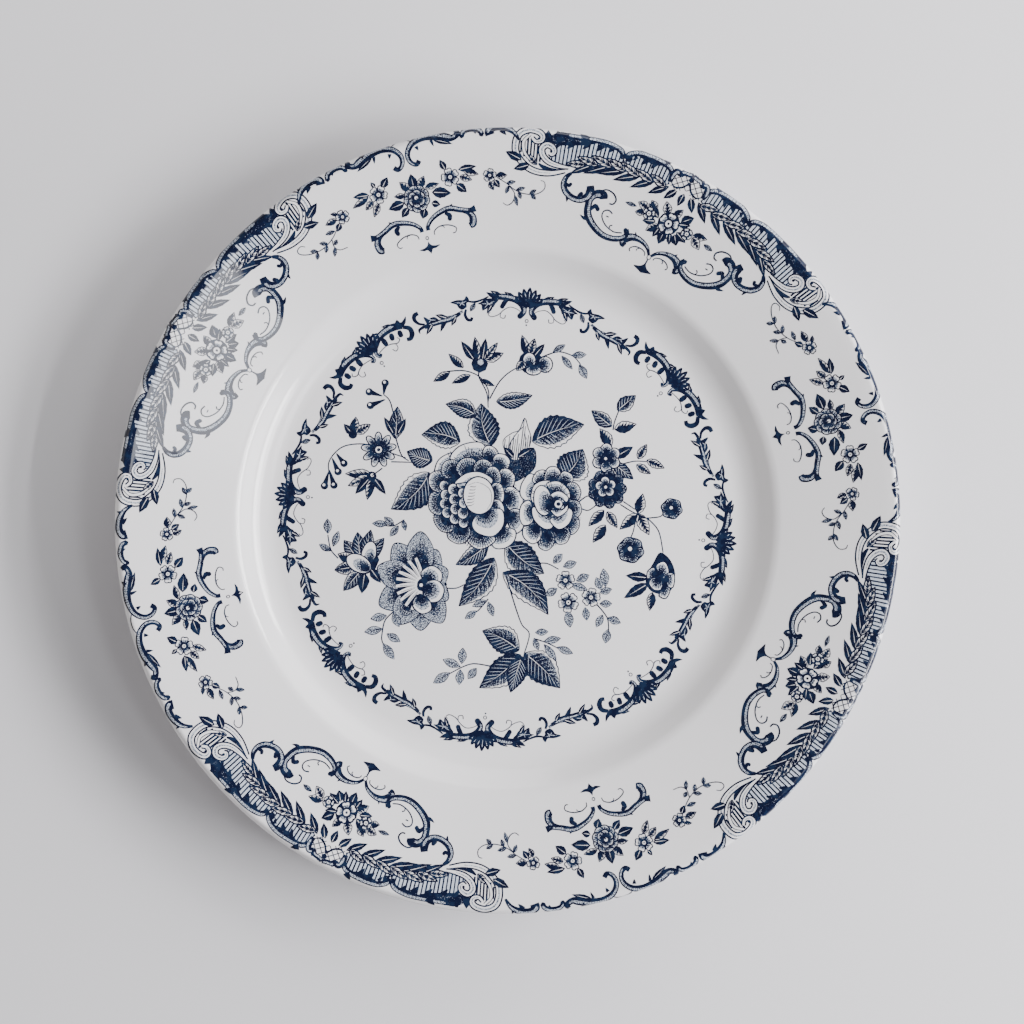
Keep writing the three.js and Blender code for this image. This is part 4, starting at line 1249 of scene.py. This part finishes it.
def repeat_nodes():
    """Repeats one unit of print round the axis at four turns, and shifts the whole ring."""
    tree, start, end = node_tree(
        "print_repeat",
        "GeometryNodeTree",
        (
            ("Unit", "NodeSocketGeometry", None, "One unit of print, drawn about the X axis"),
            ("First Turn", "NodeSocketFloat", 0.0, "Where the first copy sits, in radians"),
            ("Second Turn", "NodeSocketFloat", QUARTER, "Where the second copy sits"),
            ("Third Turn", "NodeSocketFloat", 2 * QUARTER, "Where the third copy sits"),
            ("Fourth Turn", "NodeSocketFloat", 3 * QUARTER, "Where the fourth copy sits"),
            ("First Rise", "NodeSocketFloat", 0.0, "How far out the first copy was laid"),
            ("Second Rise", "NodeSocketFloat", 0.0, "How far out the second copy was laid"),
            ("Third Rise", "NodeSocketFloat", 0.0, "How far out the third copy was laid"),
            ("Fourth Rise", "NodeSocketFloat", 0.0, "How far out the fourth copy was laid"),
            ("Shift", "NodeSocketVector", None, "How far the transfer was laid off centre"),
            ("Ink", "NodeSocketMaterial", None, "Material of the print"),
        ),
        (("Print", "NodeSocketGeometry"),),
    )
    index = node(tree, "GeometryNodeInputIndex").outputs[0]
    chosen = []
    for kind in ("Turn", "Rise"):
        switch = tree.nodes.new("GeometryNodeIndexSwitch")
        switch.data_type = "FLOAT"
        for _ in range(2):
            switch.index_switch_items.new()
        tree.links.new(index, switch.inputs["Index"])
        for i, rank in enumerate(("First", "Second", "Third", "Fourth")):
            tree.links.new(start.outputs[f"{rank} {kind}"], switch.inputs[1 + i])
        chosen.append(switch.outputs[0])
    angle = node(tree, "ShaderNodeCombineXYZ", (), {"Z": chosen[0]})
    outward = node(tree, "ShaderNodeCombineXYZ", (), {"X": chosen[1]})
    spot = node(tree, "ShaderNodeVectorRotate", {"rotation_type": "Z_AXIS"}, {"Vector": outward.outputs[0], "Angle": chosen[0]})
    spots = node(tree, "GeometryNodePoints", (), {"Count": 4, "Position": spot.outputs[0]})
    rotation = node(tree, "FunctionNodeEulerToRotation", (), {0: angle.outputs[0]})
    copies = node(tree, "GeometryNodeInstanceOnPoints", (), {"Points": spots.outputs[0], "Instance": start.outputs["Unit"], "Rotation": rotation.outputs[0]})
    whole = node(tree, "GeometryNodeRealizeInstances", (), {"Geometry": copies.outputs[0]})
    shifted = node(tree, "GeometryNodeTransform", (), {"Geometry": whole.outputs[0], "Translation": start.outputs["Shift"]})
    inked = node(tree, "GeometryNodeSetMaterial", (), {"Geometry": shifted.outputs[0], "Material": start.outputs["Ink"]})
    tree.links.new(inked.outputs[0], end.inputs["Print"])
    return tree


def made_by(tree, name, mesh, values):
    """An object whose plain mesh is what the node group makes of the given mesh."""
    piece = bpy.data.objects.new(name, mesh)
    bpy.context.scene.collection.objects.link(piece)
    modifier = piece.modifiers.new(tree.name, "NODES")
    modifier.node_group = tree
    for item in tree.interface.items_tree:
        if item.in_out == "INPUT" and item.name in values:
            modifier[item.identifier] = values[item.name]
    graph = bpy.context.evaluated_depsgraph_get()
    result = bpy.data.meshes.new_from_object(piece.evaluated_get(graph), preserve_all_data_layers=True, depsgraph=graph)
    piece.modifiers.remove(modifier)
    piece.data = result
    result.name = name
    bpy.data.meshes.remove(mesh)
    if not result.polygons:
        raise RuntimeError(f"{name} came out empty")
    return piece


# ---------------------------------------------------------------------------- materials


def glaze_surface():
    """The clear glaze's own relief and shine, which the white body and the print share."""
    name = "glaze_surface"
    if name in bpy.data.node_groups:
        return bpy.data.node_groups[name]
    tree, start, end = node_tree(
        name,
        "ShaderNodeTree",
        (("Shine", "NodeSocketFloat", 0.02, "Roughness where the glaze ran smooth"),),
        (("Roughness", "NodeSocketFloat"), ("Normal", "NodeSocketVector"), ("Tint", "NodeSocketFloat")),
    )
    where = node(tree, "ShaderNodeTexCoord").outputs["Object"]
    ripple = node(tree, "ShaderNodeTexNoise", (), {"Vector": where, "Scale": 110.0, "Detail": 2.0})
    peel = node(tree, "ShaderNodeTexNoise", (), {"Vector": where, "Scale": 900.0, "Detail": 1.0})
    wavy = node(tree, "ShaderNodeBump", (), {"Strength": 0.05, "Distance": 0.4 * MM, "Height": ripple.outputs["Fac"]})
    fine = node(tree, "ShaderNodeBump", (), {"Strength": 0.02, "Distance": 0.05 * MM, "Height": peel.outputs["Fac"], "Normal": wavy.outputs[0]})
    cloud = node(tree, "ShaderNodeTexNoise", (), {"Vector": where, "Scale": 22.0, "Detail": 3.0})
    rough = node(tree, "ShaderNodeMapRange", (), {"Value": cloud.outputs["Fac"], "From Min": 0.3, "From Max": 0.7, "To Min": 0.0, "To Max": 0.03})
    total = node(tree, "ShaderNodeMath", {"operation": "ADD"}, {0: start.outputs["Shine"], 1: rough.outputs[0]})
    tree.links.new(total.outputs[0], end.inputs["Roughness"])
    tree.links.new(fine.outputs[0], end.inputs["Normal"])
    tree.links.new(cloud.outputs["Fac"], end.inputs["Tint"])
    return tree


def material(name, build):
    """The named material, made once."""
    if name in bpy.data.materials:
        return bpy.data.materials[name]
    made = bpy.data.materials.new(name)
    made.use_nodes = True
    build(made.node_tree, made.node_tree.nodes["Principled BSDF"])
    return made


def white_glaze(tree, shader):
    """Off-white body under clear glaze, faintly clouded, with kiln specks."""
    finish = bpy.context.scene.plate_finish
    glaze = node(tree, "ShaderNodeGroup", {"node_tree": glaze_surface()}, ())
    where = node(tree, "ShaderNodeTexCoord").outputs["Object"]
    cells = node(tree, "ShaderNodeTexVoronoi", {"feature": "F1"}, {"Vector": where, "Scale": 60.0})
    size = node(tree, "ShaderNodeSeparateColor", (), {"Color": cells.outputs["Color"]})
    rare = node(tree, "ShaderNodeMapRange", (), {"Value": size.outputs["Red"], "From Min": 0.94, "From Max": 1.0, "To Min": 0.0, "To Max": 0.016})
    inside = node(tree, "ShaderNodeMath", {"operation": "LESS_THAN"}, {0: cells.outputs["Distance"], 1: rare.outputs[0]})
    white = tuple(finish.glaze)
    cool = tuple(c * k for c, k in zip(white, (0.965, 0.975, 1.0)))
    cloudy = node(tree, "ShaderNodeMix", {"data_type": "RGBA"}, {"Factor": glaze.outputs["Tint"]})
    cloudy.inputs[6].default_value = (*cool, 1)
    cloudy.inputs[7].default_value = (*white, 1)
    specked = node(tree, "ShaderNodeMix", {"data_type": "RGBA"}, {"Factor": inside.outputs[0]})
    tree.links.new(cloudy.outputs[2], specked.inputs[6])
    specked.inputs[7].default_value = (0.16, 0.13, 0.11, 1)
    tree.links.new(specked.outputs[2], shader.inputs["Base Color"])
    tree.links.new(glaze.outputs["Roughness"], shader.inputs["Roughness"])
    tree.links.new(glaze.outputs["Normal"], shader.inputs["Normal"])


def cobalt_print(tree, shader):
    """Blue ink under the glaze: its depth per shape, mottled as tissue leaves it."""
    finish = bpy.context.scene.plate_finish
    glaze = node(tree, "ShaderNodeGroup", {"node_tree": glaze_surface()}, ())
    where = node(tree, "ShaderNodeTexCoord").outputs["Object"]
    depth = node(tree, "ShaderNodeAttribute", {"attribute_name": "ink_depth"}).outputs["Fac"]
    stipple = node(tree, "ShaderNodeTexNoise", (), {"Vector": where, "Scale": 3000.0, "Detail": 1.0})
    drift = node(tree, "ShaderNodeTexNoise", (), {"Vector": where, "Scale": 420.0, "Detail": 2.0})
    level = node(tree, "ShaderNodeMapRange", {"clamp": False}, {"Value": depth, "From Min": 0.0, "From Max": 1.0, "To Min": 0.78, "To Max": 0.2})
    above = node(tree, "ShaderNodeMath", {"operation": "SUBTRACT"}, {0: stipple.outputs["Fac"], 1: level.outputs[0]})
    held = node(tree, "ShaderNodeMapRange", (), {"Value": above.outputs[0], "From Min": -0.07, "From Max": 0.07, "To Min": 0.0, "To Max": 1.0})
    pooled = node(tree, "ShaderNodeMapRange", (), {"Value": drift.outputs["Fac"], "From Min": 0.46, "From Max": 0.62, "To Min": 0.0, "To Max": 1.0})
    full = node(tree, "ShaderNodeMix", {"data_type": "RGBA"}, {"Factor": pooled.outputs[0]})
    full.inputs[6].default_value = (*finish.ink_deep, 1)
    full.inputs[7].default_value = (*finish.ink_thin, 1)
    ink = node(tree, "ShaderNodeMix", {"data_type": "RGBA"}, {"Factor": held.outputs[0]})
    ink.inputs[6].default_value = (*finish.ink_pale, 1)
    tree.links.new(full.outputs[2], ink.inputs[7])
    tree.links.new(ink.outputs[2], shader.inputs["Base Color"])
    tree.links.new(glaze.outputs["Roughness"], shader.inputs["Roughness"])
    tree.links.new(glaze.outputs["Normal"], shader.inputs["Normal"])


def bare_clay(tree, shader):
    """The dry buff band where the foot was wiped before firing, worn grey by shelves."""
    finish = bpy.context.scene.plate_finish
    where = node(tree, "ShaderNodeTexCoord").outputs["Object"]
    grit = node(tree, "ShaderNodeTexNoise", (), {"Vector": where, "Scale": 1800.0, "Detail": 3.0})
    stain = node(tree, "ShaderNodeTexNoise", (), {"Vector": where, "Scale": 60.0, "Detail": 3.0})
    colour = node(tree, "ShaderNodeMix", {"data_type": "RGBA"}, {"Factor": stain.outputs["Fac"]})
    colour.inputs[6].default_value = (*finish.bare_clay, 1)
    colour.inputs[7].default_value = (*(c * 0.62 for c in finish.bare_clay), 1)
    tree.links.new(colour.outputs[2], shader.inputs["Base Color"])
    shader.inputs["Roughness"].default_value = 0.85
    bump = node(tree, "ShaderNodeBump", (), {"Strength": 0.5, "Distance": 0.05 * MM, "Height": grit.outputs["Fac"]})
    tree.links.new(bump.outputs[0], shader.inputs["Normal"])


def studio_floor(tree, shader):
    """A pale matt surface."""
    shader.inputs["Base Color"].default_value = (*bpy.context.scene.plate_finish.floor, 1)
    shader.inputs["Roughness"].default_value = 0.8


# ---------------------------------------------------------------------------- operators


# Where the four copies of each transfer were laid, in degrees round the plate, and how far out.
CARTOUCHE_TURNS = (331.9, 62.0, 150.1, 240.8)
CARTOUCHE_RISES = (0.3, -0.8, 0.5, -0.7)
SPRAY_TURNS = (17.1, 106.4, 195.15, 286.65)
SPRAY_RISES = (0.0, 0.3, 0.0, 0.3)
WREATH_TURNS = (84.0, 353.8, 264.0, 173.4)
WREATH_RISE = 0.9
RIM_SHIFT = (0.8 * MM, 0.4 * MM, 0.0)


def finish_print(piece, layer):
    lift = bpy.context.scene.plate_finish.ink_lift * (1 + layer * LAYER_STEP)
    Seat(bpy.context.scene.plate_shape).lay(piece.data, lift)
    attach(piece, BODY)


def ring_of_print(name, sheet, layer, turns, rises=(0.0, 0.0, 0.0, 0.0), shift=(0.0, 0.0, 0.0)):
    """A print repeated four times round the plate."""
    values = {"Shift": shift, "Ink": material("cobalt_print", cobalt_print)}
    for rank, turn, rise in zip(("First", "Second", "Third", "Fourth"), turns, rises):
        values[f"{rank} Turn"] = math.radians(turn)
        values[f"{rank} Rise"] = rise * MM
    tree = bpy.data.node_groups.get("print_repeat") or repeat_nodes()
    finish_print(made_by(tree, name, sheet.mesh(name), values), layer)


class PLATE_OT_body(bpy.types.Operator):
    """Turn the glazed body and its unglazed foot band"""

    bl_idname = "plate.body"
    bl_label = "Body and Foot Band"

    def execute(self, context):
        shape = context.scene.plate_shape
        outline = plate_outline(shape)
        section = bpy.data.meshes.new("section")
        section.from_pydata([(r, 0.0, z) for r, z in outline], [(i, i + 1) for i in range(len(outline) - 1)], [])
        values = {"Segments": shape.segments, "Glaze": material("white_glaze", white_glaze)}
        plate = made_by(lathe_nodes(), "glazed_plate", section, values)
        bare_height = shape.foot_corner * 0.2
        band_mesh = plate.data.copy()
        for mesh, keep_low in ((plate.data, False), (band_mesh, True)):
            work = bmesh.new()
            work.from_mesh(mesh)
            other = [f for f in work.faces if (max(v.co.z for v in f.verts) < bare_height) != keep_low]
            bmesh.ops.delete(work, geom=other, context="FACES")
            work.to_mesh(mesh)
            work.free()
        band = bpy.data.objects.new("foot_band", band_mesh)
        context.scene.collection.objects.link(band)
        band_mesh.name = "foot_band"
        band_mesh.materials.clear()
        band_mesh.materials.append(material("bare_clay", bare_clay))
        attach(plate, BODY)
        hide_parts("plate_body")
        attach(band, BODY)
        return {"FINISHED"}


class PLATE_OT_cartouches(bpy.types.Operator):
    """Print the four latticed cartouches along the lip"""

    bl_idname = "plate.cartouches"
    bl_label = "Print Cartouches"

    def execute(self, context):
        sheet = Transfer(11)
        on_both_sides(sheet, BORDER_ARC, cartouche_half)
        sheet.place = rolled(BORDER_ARC)
        cartouche_middle(sheet)
        ring_of_print("print_cartouches", sheet, 0, CARTOUCHE_TURNS, CARTOUCHE_RISES, RIM_SHIFT)
        return {"FINISHED"}


class PLATE_OT_brackets(bpy.types.Operator):
    """Print the scrolled brackets and the small flowers they hold"""

    bl_idname = "plate.brackets"
    bl_label = "Print Brackets"

    def execute(self, context):
        sheet = Transfer(12)
        on_both_sides(sheet, BORDER_ARC, bracket_half)
        sheet.place = rolled(BORDER_ARC)
        sheet.ring((0, 101.2), 0.95)
        bracket_bouquet(sheet)
        ring_of_print("print_brackets", sheet, 1, CARTOUCHE_TURNS, CARTOUCHE_RISES, RIM_SHIFT)
        return {"FINISHED"}


class PLATE_OT_garland(bpy.types.Operator):
    """Print the lip scrolls and the scrolls that carry the sprays"""

    bl_idname = "plate.garland"
    bl_label = "Print Lip Garland"

    def execute(self, context):
        sheet = Transfer(13)
        on_both_sides(sheet, BORDER_ARC, garland_half)
        on_both_sides(sheet, SPRAY_ARC, under_spray_half)
        sheet.place = rolled(SPRAY_ARC)
        sheet.ring((0, 98.9), 0.7)
        ring_of_print("print_garland", sheet, 2, SPRAY_TURNS, SPRAY_RISES, RIM_SHIFT)
        return {"FINISHED"}


class PLATE_OT_sprays(bpy.types.Operator):
    """Print the four flower sprays of the rim"""

    bl_idname = "plate.sprays"
    bl_label = "Print Rim Sprays"

    def execute(self, context):
        sheet = Transfer(14)
        sheet.place = rolled(SPRAY_ARC)
        rim_spray(sheet)
        ring_of_print("print_rim_sprays", sheet, 3, SPRAY_TURNS, SPRAY_RISES, RIM_SHIFT)
        return {"FINISHED"}


class PLATE_OT_wreath(bpy.types.Operator):
    """Print the wreath round the edge of the well"""

    bl_idname = "plate.wreath"
    bl_label = "Print Wreath"

    def execute(self, context):
        sheet = Transfer(15)
        spacing = WREATH_ARC * QUARTER / 2
        on_both_sides(sheet, WREATH_ARC, wreath_half, WREATH_RISE)
        ring_of_print("print_wreath", sheet, 0, WREATH_TURNS)
        sheet = Transfer(16)
        sheet.place = rolled(WREATH_ARC, rise=WREATH_RISE)
        wreath_axis(sheet, 71.6, 78.0, 1.0, 66.8)
        sheet.place = rolled(WREATH_ARC, turn=-spacing / WREATH_ARC, rise=WREATH_RISE)
        wreath_axis(sheet, 71.6, 78.4, 0.95, 67.0)
        ring_of_print("print_palmettes", sheet, 1, WREATH_TURNS)
        return {"FINISHED"}


def centre_print(name, sheet, layer, *draw):
    """A print in the well that isn't repeated."""
    for motif in draw:
        motif(sheet)
    piece = bpy.data.objects.new(name, sheet.mesh(name))
    bpy.context.scene.collection.objects.link(piece)
    piece.data.materials.append(material("cobalt_print", cobalt_print))
    finish_print(piece, layer)


class PLATE_OT_bouquet(bpy.types.Operator):
    """Print the two roses, their bud and their large leaves"""

    bl_idname = "plate.bouquet"
    bl_label = "Print Bouquet"

    def execute(self, context):
        centre_print("print_bouquet", Transfer(16), 0, big_leaves, rosebud, left_rose, right_rose)
        return {"FINISHED"}


class PLATE_OT_well_flowers(bpy.types.Operator):
    """Print the smaller flowers and sprigs round the roses"""

    bl_idname = "plate.well_flowers"
    bl_label = "Print Well Flowers"

    def execute(self, context):
        centre_print("print_well_flowers", Transfer(17), 1, top_flowers, left_flowers, clematis, right_flowers, forget_me_nots)
        return {"FINISHED"}


class PLATE_OT_stage(bpy.types.Operator):
    """Set the floor, the window light, the camera and the surroundings"""

    bl_idname = "plate.stage"
    bl_label = "Stage"

    def execute(self, context):
        scene = context.scene
        shape = scene.plate_shape
        floor_mesh = bpy.data.meshes.new("floor")
        reach_out = 3.0
        floor_mesh.from_pydata([(x * reach_out, y * reach_out, -0.1 * MM) for x, y in ((-1, -1), (1, -1), (1, 1), (-1, 1))], [], [(0, 1, 2, 3)])
        floor_mesh.materials.append(material("studio_floor", studio_floor))
        floor = bpy.data.objects.new("floor", floor_mesh)
        scene.collection.objects.link(floor)
        aim = Vector((0.95 * MM, 3.2 * MM, shape.height))
        tilt_left, tilt_up = math.radians(4.04), math.radians(2.4)
        away = Vector((-math.tan(tilt_left), math.tan(tilt_up), 1.0)).normalized()
        lens = bpy.data.cameras.new("camera")
        lens.lens, lens.sensor_width = 300.0, 36.0
        lens.clip_end = 20.0
        view_width = 345.7 * MM
        camera = bpy.data.objects.new("camera", lens)
        scene.collection.objects.link(camera)
        camera.location = aim + away * (view_width * lens.lens / lens.sensor_width)
        forward = -away
        right = forward.cross(Vector((0, 1, 0))).normalized()
        up = right.cross(forward)
        camera.matrix_world = camera_frame(right, up, away, camera.location)
        scene.camera = camera
        for name, place, size, power, tint in (
            ("window", (1.2, -0.12, 0.72), (1.2, 0.26), 33.0, (1.0, 0.99, 1.0)),
            ("window_bar", (1.2, -0.2, 1.05), (1.0, 0.04), 9.0, (1.0, 0.99, 1.0)),
            ("window_sill", (1.3, -0.2, 0.36), (1.0, 0.035), 9.0, (1.0, 0.99, 1.0)),
            ("veil", (0.72, -0.38, 1.6), (0.34, 0.44), 3.6, (0.97, 0.98, 1.0)),
            ("fill", (0.5, 0.8, 0.5), (1.4, 0.6), 9.5, (1.0, 0.985, 0.975)),
            ("bounce", (-1.3, 0.1, 0.8), (1.6, 1.2), 6.0, (1.0, 0.92, 0.82)),
        ):
            light = bpy.data.lights.new(name, "AREA")
            light.shape = "RECTANGLE"
            light.size, light.size_y = size
            light.energy = power
            light.color = tint
            lamp = bpy.data.objects.new(name, light)
            lamp.location = place
            lamp.rotation_euler = Vector(place).to_track_quat("Z", "Y").to_euler()
            scene.collection.objects.link(lamp)
        world = scene.world or bpy.data.worlds.new("studio")
        scene.world = world
        world.use_nodes = True
        sky = world.node_tree.nodes["Background"]
        sky.inputs["Color"].default_value = (0.86, 0.87, 0.92, 1)
        sky.inputs["Strength"].default_value = 0.24
        return {"FINISHED"}


def camera_frame(right, up, away, location):
    """The camera's matrix from its three axes and its place."""
    columns = Matrix((right, up, away)).transposed().to_4x4()
    columns.translation = location
    return columns


class PLATE_PT_panel(bpy.types.Panel):
    """Lists the plate's sizes and the steps that make it"""

    bl_label = "Printed Plate"
    bl_idname = "PLATE_PT_panel"
    bl_space_type = "VIEW_3D"
    bl_region_type = "UI"
    bl_category = "Plate"

    def draw(self, context):
        layout = self.layout
        for settings in (context.scene.plate_shape, context.scene.plate_finish):
            box = layout.box()
            for name in settings.__annotations__:
                box.prop(settings, name)
        column = layout.column(align=True)
        for step in STEPS:
            column.operator(step.bl_idname)


STEPS = (
    PLATE_OT_body,
    PLATE_OT_cartouches,
    PLATE_OT_brackets,
    PLATE_OT_garland,
    PLATE_OT_sprays,
    PLATE_OT_wreath,
    PLATE_OT_bouquet,
    PLATE_OT_well_flowers,
    PLATE_OT_stage,
)
CLASSES = (PlateShape, PlateFinish, *STEPS, PLATE_PT_panel)


def register():
    for made in CLASSES:
        bpy.utils.register_class(made)
    bpy.types.Scene.plate_shape = PointerProperty(type=PlateShape)
    bpy.types.Scene.plate_finish = PointerProperty(type=PlateFinish)


def unregister():
    del bpy.types.Scene.plate_finish
    del bpy.types.Scene.plate_shape
    for made in reversed(CLASSES):
        bpy.utils.unregister_class(made)


def main():
    register()
    for step in STEPS:
        family, action = step.bl_idname.split(".")
        if getattr(getattr(bpy.ops, family), action)() != {"FINISHED"}:
            raise RuntimeError(f"{step.bl_label} did not finish")


if __name__ == "__main__":
    main()
